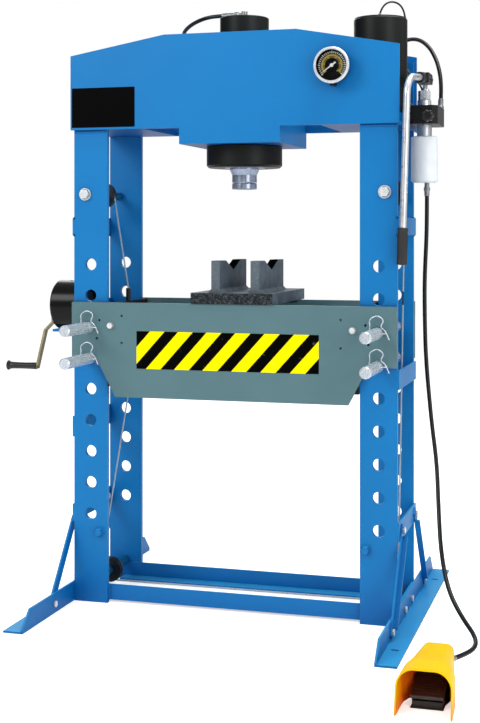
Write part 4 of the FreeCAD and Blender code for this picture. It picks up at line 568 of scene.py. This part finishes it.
FINISHES = (
    # frame: the pale blue on the edges is a painted highlight, partly wear; the deeper blue in
    # crevices is painted shade
    ("frame_enamel", "frame",
     dict(rough=0.42, variation=0.035, cloud=3.0, grain=420.0, bump=0.00005,
          edge=srgb(60, 150, 215), wear_and_highlight=0.55, specular=0.25, crevice_shade=0.18,
          crevice_shade_tone=srgb(0, 96, 166)),
     ("upright_front_left", "upright_front_right", "upright_rear_left", "upright_rear_right",
      "side_straps", "beam_front_plate", "beam_rear_plate", "beam_inner_plates", "feet",
      "foot_braces", "crossbars", "pump_mounting_plate", "tank_bracket", "winch_bracket")),
    ("bed_enamel", "bed",
     dict(rough=0.45, variation=0.04, cloud=4.0, grain=500.0, bump=0.00006,
          edge=srgb(125, 152, 155), wear_and_highlight=0.5, specular=0.3),
     ("bed_front_plate", "bed_rear_plate")),
    # painted shade in the blocks' crevices
    ("block_enamel", "block",
     dict(rough=0.5, variation=0.25, cloud=22.0, grain=350.0, bump=0.00025,
          edge=srgb(120, 128, 135), wear_and_highlight=0.9, spots=0.35, specular=0.15, crevice_shade=0.02),
     ("vee_blocks",)),
    ("black_coat", "black",
     dict(rough=0.42, variation=0.12, cloud=8.0, grain=700.0, bump=0.00005,
          edge=WORN_BLACK, wear_and_highlight=0.5, specular=0.22),
     ("bed_end_plates", "cylinder_barrel", "cylinder_collar", "oil_tank", "gauge_case")),
    ("gloss_black", srgb(4, 4, 5),
     dict(rough=0.22, variation=0.1, cloud=8.0, grain=700.0, bump=0.00002,
          edge=WORN_BLACK, wear_and_highlight=0.5, specular=0.2),
     ("winch_cover",)),
    ("valve_block", srgb(16, 17, 18),
     dict(rough=0.4, variation=0.12, cloud=14.0, grain=500.0, bump=0.00012,
          edge=srgb(90, 92, 96), wear_and_highlight=0.6, specular=0.3),
     ("pump_block",)),
    # the zinc finishes below: a painted highlight in white on their sharp edges; the bolts and
    # axles also get painted shade in their crevices
    ("zinc_plate", srgb(150, 154, 158),
     dict(rough=0.30, metallic=0.85, variation=0.12, cloud=60.0, bump=0.00003,
          edge=ZINC_EDGE_HIGHLIGHT, edge_radius=0.0022, wear_and_highlight=1.0),
     ("hose_fittings",)),
    ("bolt_zinc", FASTENER,
     dict(rough=0.32, metallic=0.3, variation=0.12, cloud=60.0, bump=0.00003,
          edge=ZINC_EDGE_HIGHLIGHT, edge_radius=0.0015, wear_and_highlight=1.0, crevice_shade=0.012),
     ("machine_bolts",)),
    ("axle_zinc", FASTENER,
     dict(rough=0.32, metallic=0.3, variation=0.12, cloud=60.0, bump=0.00003,
          edge=ZINC_EDGE_HIGHLIGHT, edge_radius=0.0015, wear_and_highlight=1.0, crevice_shade=0.007),
     ("pulley_axles",)),
    # painted shade in the crevices of the gland and post
    ("bright_nickel", BRIGHT,
     dict(rough=0.2, metallic=0.75, variation=0.08, cloud=40.0, grain=200.0, bump=0.0,
          edge_radius=0.0, crevice_shade=0.006),
     ("pump_gland_and_post",)),
    ("pin_steel", srgb(210, 218, 226),
     dict(rough=0.26, metallic=0.5, cloud=35.0, grain=150.0, bump=0.0,
          stretch=(1.0, 0.12, 1.0), edge=BARE, wear_and_highlight=0.3),
     ("bed_pin_upper_left", "bed_pin_upper_right", "bed_pin_lower_left", "bed_pin_lower_right")),
    ("ground_steel", srgb(160, 170, 190),
     dict(rough=0.25, metallic=0.7, variation=0.12, cloud=30.0, grain=800.0, bump=0.00003,
          stretch=(0.2, 0.2, 2.5), edge=BARE),
     ("ram", "piston", "guide_bush", "pump_plunger")),
    ("wire_rope", srgb(160, 176, 186),
     dict(metallic=0.2, variation=0.2, cloud=300.0, grain=1200.0, bump=0.0002),
     ("winch_cable", "levelling_cable")),
    ("dark_steel", srgb(70, 72, 74),
     dict(metallic=1.0, variation=0.15, cloud=60.0, grain=700.0, bump=0.00005, edge=BARE,
          wear_and_highlight=0.6),
     ("pulley_upper_left", "pulley_upper_right", "pulley_lower_left", "pulley_lower_right",
      "winch_drum", "winch_pinion", "lever_socket")),
    ("olive_zinc", srgb(112, 106, 80),
     dict(rough=0.33, metallic=0.9, variation=0.12, cloud=40.0, grain=700.0, bump=0.00005,
          edge=BARE),
     ("winch_crank",)),
    ("lever_chrome", srgb(226, 229, 233),
     dict(rough=0.3, metallic=0.8, variation=0.04, cloud=30.0, grain=40.0, bump=0.0,
          edge_radius=0.0),
     ("pump_handle",)),
    ("bezel_steel", BRIGHT,
     dict(rough=0.28, metallic=0.5, variation=0.05, cloud=60.0, bump=0.00002),
     ("gauge_bezel",)),
    ("motor_shell", "motor",
     dict(rough=0.32, variation=0.04, cloud=14.0, bump=0.00003, stretch=(1.0, 1.0, 8.0)),
     ("air_motor",)),
    # hood: painted shade, a deeper orange where the hood's hollow closes in
    ("hood_plastic", "hood",
     dict(rough=0.38, variation=0.04, cloud=12.0, grain=420.0, bump=0.00008,
          edge_radius=0.002, specular=0.12, crevice_shade=0.09, crevice_shade_tone=srgb(250, 112, 4)),
     ("pedal_guard",)),
    ("dark_plastic", srgb(34, 33, 34),
     dict(rough=0.5, variation=0.1, cloud=20.0, grain=600.0, bump=0.00008),
     ("pedal_valve",)),
    ("tread_coat", srgb(52, 42, 40),
     dict(rough=0.3, metallic=0.2, variation=0.15, cloud=40.0, grain=600.0, bump=0.00005,
          edge=BARE, wear_and_highlight=0.7),
     ("pedal_treadle",)),
    ("needle_paint", srgb(238, 238, 235), dict(), ("gauge_needle",)),
)

# ------------------------------------------------------------------ hose routes
PRESSURE_ROUTE = (
    (-0.075, 0.0, 1.889), (-0.112, 0.0, 1.889), (-0.158, 0.014, 1.881), (-0.204, 0.048, 1.870),
    (-0.244, 0.100, 1.857), (-0.268, 0.160, 1.834), (-0.276, 0.208, 1.786), (-0.264, 0.232, 1.720),
    (-0.228, 0.244, 1.656), (-0.164, 0.250, 1.606), (-0.084, 0.246, 1.578), (0.004, 0.242, 1.568),
    (0.092, 0.240, 1.574), (0.172, 0.231, 1.596), (0.246, 0.221, 1.636), (0.314, 0.213, 1.686),
    (0.376, 0.208, 1.742), (0.436, 0.206, 1.788), (0.488, 0.203, 1.818), (0.534, 0.189, 1.818),
    (0.572, 0.168, 1.790), (0.600, 0.142, 1.744), (0.616, 0.120, 1.694), (0.622, 0.103, 1.646),
    (0.622, 0.093, 1.608))
RETURN_ROUTE = (
    (0.444, 0.0, 1.873), (0.450, 0.004, 1.896), (0.474, 0.018, 1.915), (0.502, 0.050, 1.908),
    (0.510, 0.090, 1.876), (0.504, 0.112, 1.824), (0.502, 0.119, 1.766), (0.508, 0.112, 1.712),
    (0.530, 0.093, 1.682), (0.560, 0.079, 1.655), (0.570, 0.072, 1.622), (0.568, 0.068, 1.596))
AIR_ROUTE = (
    (0.592, 0.0, 1.300), (0.592, -0.001, 1.230), (0.591, -0.005, 1.160), (0.586, -0.010, 1.042),
    (0.588, -0.018, 0.918), (0.593, -0.028, 0.793), (0.615, -0.058, 0.605), (0.636, -0.090, 0.488),
    (0.648, -0.140, 0.370), (0.664, -0.205, 0.250), (0.697, -0.290, 0.160), (0.745, -0.362, 0.108),
    (0.790, -0.430, 0.080), (0.800, -0.484, 0.068), (0.781, -0.5335, 0.062),
    (0.7539, -0.5755, 0.0615))
# node, route, diameter, length
HOSES = (("pressure_hose", PRESSURE_ROUTE, 0.013, 1.605),
         ("return_hose", RETURN_ROUTE, 0.006, 0.460),
         ("air_hose", AIR_ROUTE, 0.013, 1.559))


def hose(name, route, diameter, material):
    """Round hose: a NURBS curve of order 3 whose control points are the route."""
    skin = name + "_skin"
    curve = bpy.data.curves.new(skin, "CURVE")
    curve.dimensions = "3D"
    curve.bevel_depth = diameter / 2.0
    curve.bevel_resolution = 6
    curve.use_fill_caps = True
    spline = curve.splines.new("NURBS")
    spline.points.add(len(route) - 1)
    for point, place in zip(spline.points, route):
        point.co = (*place, 1.0)
    spline.order_u = 3
    spline.use_endpoint_u = True
    spline.resolution_u = 10
    curve.resolution_u = 10
    made = link(bpy.data.objects.new(skin, curve))
    return dress(made, "frame", "hose_rubber", material, name)


# ------------------------------------------------------------------ operators
class PRESS_OT_finish_frame(bpy.types.Operator):
    """Enamel, steel, plastic and glass for the pieces that keep their CAD shape"""
    bl_idname = "press.finish_frame"
    bl_label = "Finish the frame"

    def execute(self, context):
        made = {}
        for name, colour, values, nodes in FINISHES:
            if isinstance(colour, str):
                colour = tuple(getattr(context.scene.press_colours, colour))
            made[name] = finish(name, colour, **values)
            paint_nodes(made[name], *nodes)
        shade_by_slope(made["frame_enamel"], SHADED_BLUE, LIT_BLUE)
        darken_notch(made["block_enamel"])
        bright_below(made["valve_block"], PUMP_BLOCK_FLOOR, BARE_CAST)
        coat_between(made["axle_zinc"], "Y", SPACER_SPAN, SPACER_BLUE, 0.3)
        coat_between(made["wire_rope"], "Z", SLEEVE_SPAN, SLEEVE, 0.2)
        paint_nodes(clear("window_glass", (0.97, 0.99, 1.0, 1.0), 0.01), "gauge_glass")
        return {"FINISHED"}


class PRESS_OT_hoses(bpy.types.Operator):
    """The oil hose, the thin return hose and the air hose to the pedal"""
    bl_idname = "press.hoses"
    bl_label = "Hoses"

    def execute(self, context):
        rubber = finish("hose_rubber", srgb(13, 14, 15), 0.3, variation=0.12, cloud=30.0,
                        grain=1400.0, bump=0.00003, specular=0.35)
        for name, route, diameter, length in HOSES:
            made = hose(name, route, diameter, rubber)
        return {"FINISHED"}


def fade(s, start, length):
    """0 before start, rising to 1 over a length; a negative length makes it fall."""
    return np.clip((s - start) / length, 0, 1)


def dome(s, start, length, least):
    """Share of the radius left past start: a quarter circle that stops at the root of least."""
    return np.sqrt(np.clip(1.0 - fade(s, start, length) ** 2, least, 1))


class PRESS_OT_grips(bpy.types.Operator):
    """Fluted lever grip, crank handle and lobed release knob"""
    bl_idname = "press.grips"
    bl_label = "Grips and knob"

    @staticmethod
    def lever_radius(s, t):
        """Straight grip with a lip at the top: flutes of cos(14 t), faded out near both ends."""
        body = 0.0150 + 0.0012 * np.exp(-((s - 0.001) / 0.006) ** 2)
        lip = 0.0016 * np.exp(-((s - 0.101) / 0.0045) ** 2)
        fluted = fade(s, 0.010, 0.006) * fade(s, 0.090, -0.006)
        flute = 0.0007 * fluted * np.clip(np.cos(14 * t), -0.2, 1.0)
        return (body + lip + flute) * dome(s, 0.104, 0.0042, 0.35) * dome(s, -0.002, -0.0032, 0.2)

    @staticmethod
    def crank_radius(s, t):
        """Slender waist and a flared outer end, with rings of sin(s) between."""
        waist = 0.0118 - 0.0012 * np.sin(math.pi * fade(s, 0.0, 0.094))
        flare = 0.0048 / (1.0 + np.exp(-(s - 0.0985) / 0.0016))
        rings = 0.00035 * np.sin(TAU * s / 0.0042) * fade(s, 0.088, -0.006)
        return (waist + flare + rings) * dome(s, 0.1035, 0.0042, 0.3)

    @staticmethod
    def knob_radius(s, t):
        """Stem, then seven lobes r = a + b * |cos(3.5 t)|, closing with a rounded face."""
        lobes = 0.0150 + 0.0036 * np.abs(np.cos(3.5 * t))
        edge = np.interp(s, [0.0, 0.002, 0.004, 0.020, 0.0225, 0.0235, 0.024],
                         [0.80, 0.93, 1.0, 1.0, 0.94, 0.84, 0.72])
        return np.where(s < 0.0, 0.006, lobes * edge)

    def execute(self, context):
        rubber = finish("grip_rubber", srgb(30, 30, 31), 0.55, variation=0.12, cloud=25.0,
                        bump=0.00008)
        plastic = finish("grip_plastic", srgb(17, 17, 19), 0.3, variation=0.1, cloud=25.0)
        along = np.concatenate([np.linspace(-0.005, -0.002, 4), np.linspace(0.0, 0.104, 60),
                                [0.106, 0.1075, 0.108]])
        grip = round_surface("lever_grip", GRIP_FOOT, np.subtract(GRIP_AIM, GRIP_FOOT), along,
                             self.lever_radius, 112)
        dress(grip, "pump_lever", "black_rubber", rubber, "handle_grip")
        crank = round_surface("crank_grip_skin", CRANK_GRIP_ROOT, (-1.0, 0.0, 0.0),
                              np.linspace(0.0006, 0.1075, 90), self.crank_radius, 56)
        dress(crank, "crank_grip", "black_plastic", plastic, "winch_grip")
        along = (-0.0395, -0.0380, -0.0005, 0.0, 0.0005, 0.002, 0.004, 0.012, 0.020, 0.0225,
                 0.0235, 0.024)
        knob = round_surface("knob_skin", KNOB_ROOT, (0.0, -1.0, 0.0), along,
                             self.knob_radius, 84)
        dress(knob, "release_knob", "black_plastic", plastic, "release_knob")
        return {"FINISHED"}


class PRESS_OT_gauge_dial(bpy.types.Operator):
    """Dial marks and numbers of the pressure gauge"""
    bl_idname = "press.gauge_dial"
    bl_label = "Gauge dial"

    @staticmethod
    def spot(radius, turn):
        """A point of the dial at a radius and an angle in radians."""
        return DIAL_X + radius * math.cos(turn), DIAL_Z + radius * math.sin(turn)

    @staticmethod
    def tick(step, kind):
        """Radial bar at a step of the sweep, every fifth one long, its corners in
        counter-clockwise order."""
        inner, short, long = kind
        outer, width = short if step % 5 else long
        a = math.radians(DIAL_ZERO - DIAL_SWEEP * step / DIAL_STEPS)
        d = np.array([math.cos(a), math.sin(a)])
        n = np.array([-math.sin(a), math.cos(a)]) * width / 2.0
        c = np.array([DIAL_X, DIAL_Z])
        corners = [c + inner * d - n, c + outer * d - n, c + outer * d + n, c + inner * d + n]
        return [tuple(p) for p in corners]

    def arc(self, inner, width):
        """A ring piece along the whole sweep, as a row of short four-sided marks."""
        angles = np.radians(DIAL_ZERO - DIAL_SWEEP * np.linspace(0, 1, ARC_STEPS + 1))
        return [[self.spot(inner + width, a), self.spot(inner + width, b),
                 self.spot(inner, b), self.spot(inner, a)]
                for a, b in zip(angles[:-1], angles[1:])]

    def execute(self, context):
        white = finish("dial_white", srgb(255, 255, 255), 0.5, variation=0.02)
        amber = finish("dial_amber", srgb(236, 204, 84), 0.5, variation=0.02)
        amber_band = finish("dial_band", srgb(104, 92, 20), 0.5, variation=0.25, cloud=60.0)
        black = finish("dial_black", srgb(5, 5, 6), 0.5, variation=0.05, specular=0.1)
        ticks = [self.tick(step, WHITE_TICK) for step in range(0, DIAL_STEPS + 1, 2)]
        ambers = [self.tick(step, AMBER_TICK) for step in range(DIAL_STEPS + 1)]
        ambers += self.arc(*AMBER_LINE)
        disc = [self.spot(DIAL_RADIUS, turn) for turn in np.linspace(0.0, TAU, 72, endpoint=False)]
        dress(flat_marks("dial_disc", [disc], DIAL_Y, PRINT), "frame", "black_paint", black)
        face_y = DIAL_Y - PRINT
        for name, marks, thickness, material in (
                ("dial_ticks", ticks, TICK_PRINT, white),
                ("dial_amber_ticks", ambers, TICK_PRINT, amber),
                ("dial_amber_band", self.arc(*OLIVE_BAND), BAND_PRINT, amber_band)):
            dress(flat_marks(name, marks, face_y, thickness), "frame", "zinc_steel", material)
        numbers = []
        for k in range(NUMBERS):
            turn = math.radians(DIAL_ZERO - DIAL_SWEEP * k / (NUMBERS - 1))
            x, z = self.spot(DIGIT_RADIUS, turn)
            numbers.append(self.number(str(k * NUMBER_STEP), x, face_y, z))
        dress(join("dial_numbers", numbers), "frame", "zinc_steel", amber)
        return {"FINISHED"}

    def number(self, words, x, y, z):
        """Small printed digits, turned upright and made a mesh in place."""
        text = bpy.data.curves.new("digits", "FONT")
        text.body = words
        text.size = DIGIT_SIZE
        text.align_x, text.align_y = "CENTER", "CENTER"
        text.extrude = PRINT
        made = link(bpy.data.objects.new("digits", text))
        bpy.context.view_layer.update()
        mesh = bpy.data.meshes.new_from_object(made)
        bpy.data.objects.remove(made)
        points = np.empty(len(mesh.vertices) * 3)
        mesh.vertices.foreach_get("co", points)
        points = points.reshape(-1, 3)
        placed = np.stack([points[:, 0] + x, y - PRINT - points[:, 2], points[:, 1] + z], axis=-1)
        faces = [list(face.vertices) for face in mesh.polygons]
        return mesh_object("digits", placed, faces, smooth=False)


class PRESS_OT_panels(bpy.types.Operator):
    """Hazard stripes on the bed and a plain black panel on the beam"""
    bl_idname = "press.panels"
    bl_label = "Panels"

    def execute(self, context):
        s, c = context.scene.press_sizes, context.scene.press_colours
        ink = stripes("stripe_ink", STRIPE_BLACK, tuple(c.stripe), s.stripe_period, STRIPE_LEAN,
                      STRIPE_SHARE, -s.stripe_left, s.stripe_top)
        sheet = panel("stripe_panel", (-s.stripe_left, s.stripe_right),
                      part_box("bed_front_plate")[0][1], (s.stripe_low, s.stripe_top), FILM, 0.001)
        dress(sheet, "frame", "bed_paint", ink)
        film = finish("black_film", srgb(4, 4, 5), 0.45, variation=0.1, cloud=20.0, specular=0.03)
        plate = panel("black_panel", BLACK_PANEL_X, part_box("beam_front_plate")[0][1],
                      BLACK_PANEL_Z, FILM, 0.002)
        dress(plate, "frame", "black_paint", film)
        return {"FINISHED"}


class PRESS_OT_welds(bpy.types.Operator):
    """Rippled weld beads where the plates meet"""
    bl_idname = "press.welds"
    bl_label = "Welds"

    def execute(self, context):
        s = context.scene.press_sizes
        runs = []
        for side in (-1.0, 1.0):
            for z in STRAP_Z:
                for middle in (-STRAP_Y, STRAP_Y):
                    runs.append([(side * STRAP_X, y, z)
                                 for y in (middle - STRAP_HALF_RUN, middle + STRAP_HALF_RUN)])
            for y in (-CROSSBAR_Y, CROSSBAR_Y):
                runs.append([(side * CROSSBAR_X, y, z) for z in CROSSBAR_Z])
            runs.append([(side * x, BEAM_SEAM_Y, BEAM_SEAM_Z) for x in BEAM_SEAM_X])

        def ripple(d):
            """Bead radius at a distance along it."""
            return s.weld_width / 2.0 * (1.0 + WELD_RISE * np.cos(TAU * d / s.weld_ripple))

        beads = []
        for start, stop in runs:
            start, stop = np.array(start), np.array(stop)
            steps = max(int(np.linalg.norm(stop - start) / WELD_STEP), 4)
            share = np.linspace(0.0, 1.0, steps)[:, None]
            level = start[2] == stop[2]
            up = (0.0, 0.0, 1.0) if level else (0.0, 1.0, 0.0)
            beads.append(swept("bead", start + share * (stop - start), ripple, 8, up))
        weld = join("weld_beads", beads)
        dress(weld, "frame", "frame_paint", bpy.data.materials["frame_enamel"])
        return {"FINISHED"}


class PRESS_OT_painted_bolts(bpy.types.Operator):
    """Two bolt heads, painted over, low on the front uprights"""
    bl_idname = "press.painted_bolts"
    bl_label = "Painted bolts"

    @staticmethod
    def bolt_radius(s, t):
        """Round washer, then a hexagon r = (across / 2) / cos(t mod 60 deg - 30 deg) with a
        crowned end."""
        sector = math.pi / 3.0
        side = BOLT_ACROSS / 2.0 / np.cos(np.mod(t, sector) - sector / 2.0)
        crown = np.interp(s, [0.0140, 0.0154, 0.0160], [1.0, 0.95, 0.80])
        return np.where(s < 0.00315, BOLT_WASHER, np.minimum(side, BOLT_ACROSS * 0.56) * crown)

    def execute(self, context):
        along = (0.0, 0.0026, 0.0031, 0.0032, 0.0033, 0.0140, 0.0154, 0.0160)
        heads = [round_surface("head", (x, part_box(name)[0][1], BOLT_Z), (0.0, -1.0, 0.0), along,
                               self.bolt_radius, 72) for name, x in BOLT_PLACES]
        dress(join("painted_bolts", heads), "frame", "frame_paint",
              bpy.data.materials["frame_enamel"])
        return {"FINISHED"}


class PRESS_OT_treadle(bpy.types.Operator):
    """Raised ribs across the treadle"""
    bl_idname = "press.treadle"
    bl_label = "Treadle ribs"

    def execute(self, context):
        height = context.scene.press_sizes.rib_height
        front, rear = np.array(TREADLE_FRONT), np.array(TREADLE_REAR)
        x = np.linspace(TREADLE_X - TREADLE_HALF, TREADLE_X + TREADLE_HALF, 12)
        ribs = []
        for share in np.linspace(*TREADLE_SPAN, TREADLE_RIBS):
            y, z = front + share * (rear - front)
            path = np.stack([x, np.full_like(x, y), np.full_like(x, z - height)], axis=-1)
            ribs.append(swept("rib", path, lambda d: np.full_like(d, 2.0 * height), 10,
                              (0.0, 0.0, 1.0)))
        dress(join("treadle_ribs", ribs), "treadle", "treadle_paint",
              bpy.data.materials["tread_coat"])
        return {"FINISHED"}


class PRESS_OT_stage(bpy.types.Operator):
    """Pale floor, soft lamps and the camera"""
    bl_idname = "press.stage"
    bl_label = "Stage"

    def execute(self, context):
        self.floor()
        for values in LAMPS:
            self.lamp(*values)
        context.scene.world = self.studio()
        context.scene.view_settings.view_transform = "Standard"
        context.scene.camera = self.camera()
        return {"FINISHED"}

    def floor(self):
        """A pale floor that glows for the camera, so that it fades into the background."""
        corners = np.array([(x, y, 0.0) for x, y in ((FLOOR_X[0], FLOOR_Y[0]),
                                                     (FLOOR_X[1], FLOOR_Y[0]),
                                                     (FLOOR_X[1], FLOOR_Y[1]),
                                                     (FLOOR_X[0], FLOOR_Y[1]))])
        floor = mesh_object("stage_floor", corners, [[0, 1, 2, 3]], smooth=False)
        mat, tree, bsdf = new_material("pale_floor")
        bsdf.inputs["Roughness"].default_value = 0.9
        rays = node(tree, "ShaderNodeLightPath").outputs
        tree.links.new(spread(tree, rays["Is Camera Ray"], 0.0, 1.0, *FLOOR_GLOW),
                       bsdf.inputs["Emission Strength"])
        bsdf.inputs["Emission Color"].default_value = WHITE
        tree.links.new(mix(tree, noise(tree, 0.7), scaled(WHITE, 0.93), scaled(WHITE, 0.95)),
                       bsdf.inputs["Base Color"])
        floor.data.materials.append(mat)

    def studio(self):
        """White to the camera and to light, with soft dark bands in reflections."""
        world = bpy.data.worlds.new("studio")
        world.use_nodes = True
        tree = world.node_tree
        background = tree.nodes["Background"]
        rays = node(tree, "ShaderNodeLightPath").outputs
        bright = arithmetic(tree, "MAXIMUM", rays["Is Camera Ray"], rays["Is Transmission Ray"])
        tree.links.new(spread(tree, bright, 0.0, 1.0, *STUDIO_GLOW), background.inputs["Strength"])
        across = axes(tree, "ShaderNodeTexCoord", "Generated")["X"]
        wave = arithmetic(tree, "SINE", arithmetic(tree, "MULTIPLY", across, BAND_RATE))
        cards = spread(tree, wave, -0.25, 0.35, 0.08, 1.0)
        tree.links.new(mix(tree, rays["Is Glossy Ray"], WHITE, cards), background.inputs["Color"])
        return world

    def camera(self):
        """The camera fitted to the photograph, level and shifted to the picture's centre."""
        camera = bpy.data.cameras.new("camera")
        camera.sensor_width = SENSOR_MM
        camera.lens = FOCAL_PX * SENSOR_MM / PHOTO_HEIGHT
        camera.shift_x = (PHOTO_WIDTH / 2.0 - CENTRE_PX) / PHOTO_HEIGHT
        camera.shift_y = -(PHOTO_HEIGHT / 2.0 - HORIZON_PX) / PHOTO_HEIGHT
        camera.clip_end = 60.0
        made = link(bpy.data.objects.new("camera", camera))
        made.location = CAMERA_PLACE
        made.rotation_euler = (math.pi / 2.0, 0.0, CAMERA_YAW)
        return made

    def lamp(self, name, place, aim, size, power):
        """Square soft lamp that faces the aim point."""
        light = bpy.data.lights.new(name, "AREA")
        light.size = size
        light.energy = power
        made = link(bpy.data.objects.new(name, light))
        x, y, z = np.subtract(aim, place)
        made.location = place
        made.rotation_euler = (math.atan2(math.hypot(x, y), -z), 0.0, math.atan2(-x, y))


class PRESS_PT_sidebar(bpy.types.Panel):
    """Sizes, colours and one button for each group of pieces"""
    bl_label = "Press"
    bl_idname = "PRESS_PT_sidebar"
    bl_space_type = "VIEW_3D"
    bl_region_type = "UI"
    bl_category = "Press"

    def draw(self, context):
        column = self.layout.column()
        for group in (context.scene.press_colours, context.scene.press_sizes):
            for key in group.__annotations__:
                column.prop(group, key)
        for operator in OPERATORS:
            column.operator(operator.bl_idname)


OPERATORS = (PRESS_OT_finish_frame, PRESS_OT_hoses, PRESS_OT_grips, PRESS_OT_gauge_dial,
             PRESS_OT_panels, PRESS_OT_welds, PRESS_OT_painted_bolts, PRESS_OT_treadle,
             PRESS_OT_stage)
CLASSES = (PressColours, PressSizes) + OPERATORS + (PRESS_PT_sidebar,)


def register():
    for item in CLASSES:
        bpy.utils.register_class(item)
    bpy.types.Scene.press_colours = bpy.props.PointerProperty(type=PressColours)
    bpy.types.Scene.press_sizes = bpy.props.PointerProperty(type=PressSizes)


def unregister():
    del bpy.types.Scene.press_sizes
    del bpy.types.Scene.press_colours
    for item in reversed(CLASSES):
        bpy.utils.unregister_class(item)


def main():
    register()
    bpy.ops.press.finish_frame()
    bpy.ops.press.hoses()
    bpy.ops.press.grips()
    bpy.ops.press.gauge_dial()
    bpy.ops.press.panels()
    bpy.ops.press.welds()
    bpy.ops.press.painted_bolts()
    bpy.ops.press.treadle()
    bpy.ops.press.stage()


if __name__ == "__main__":
    main()
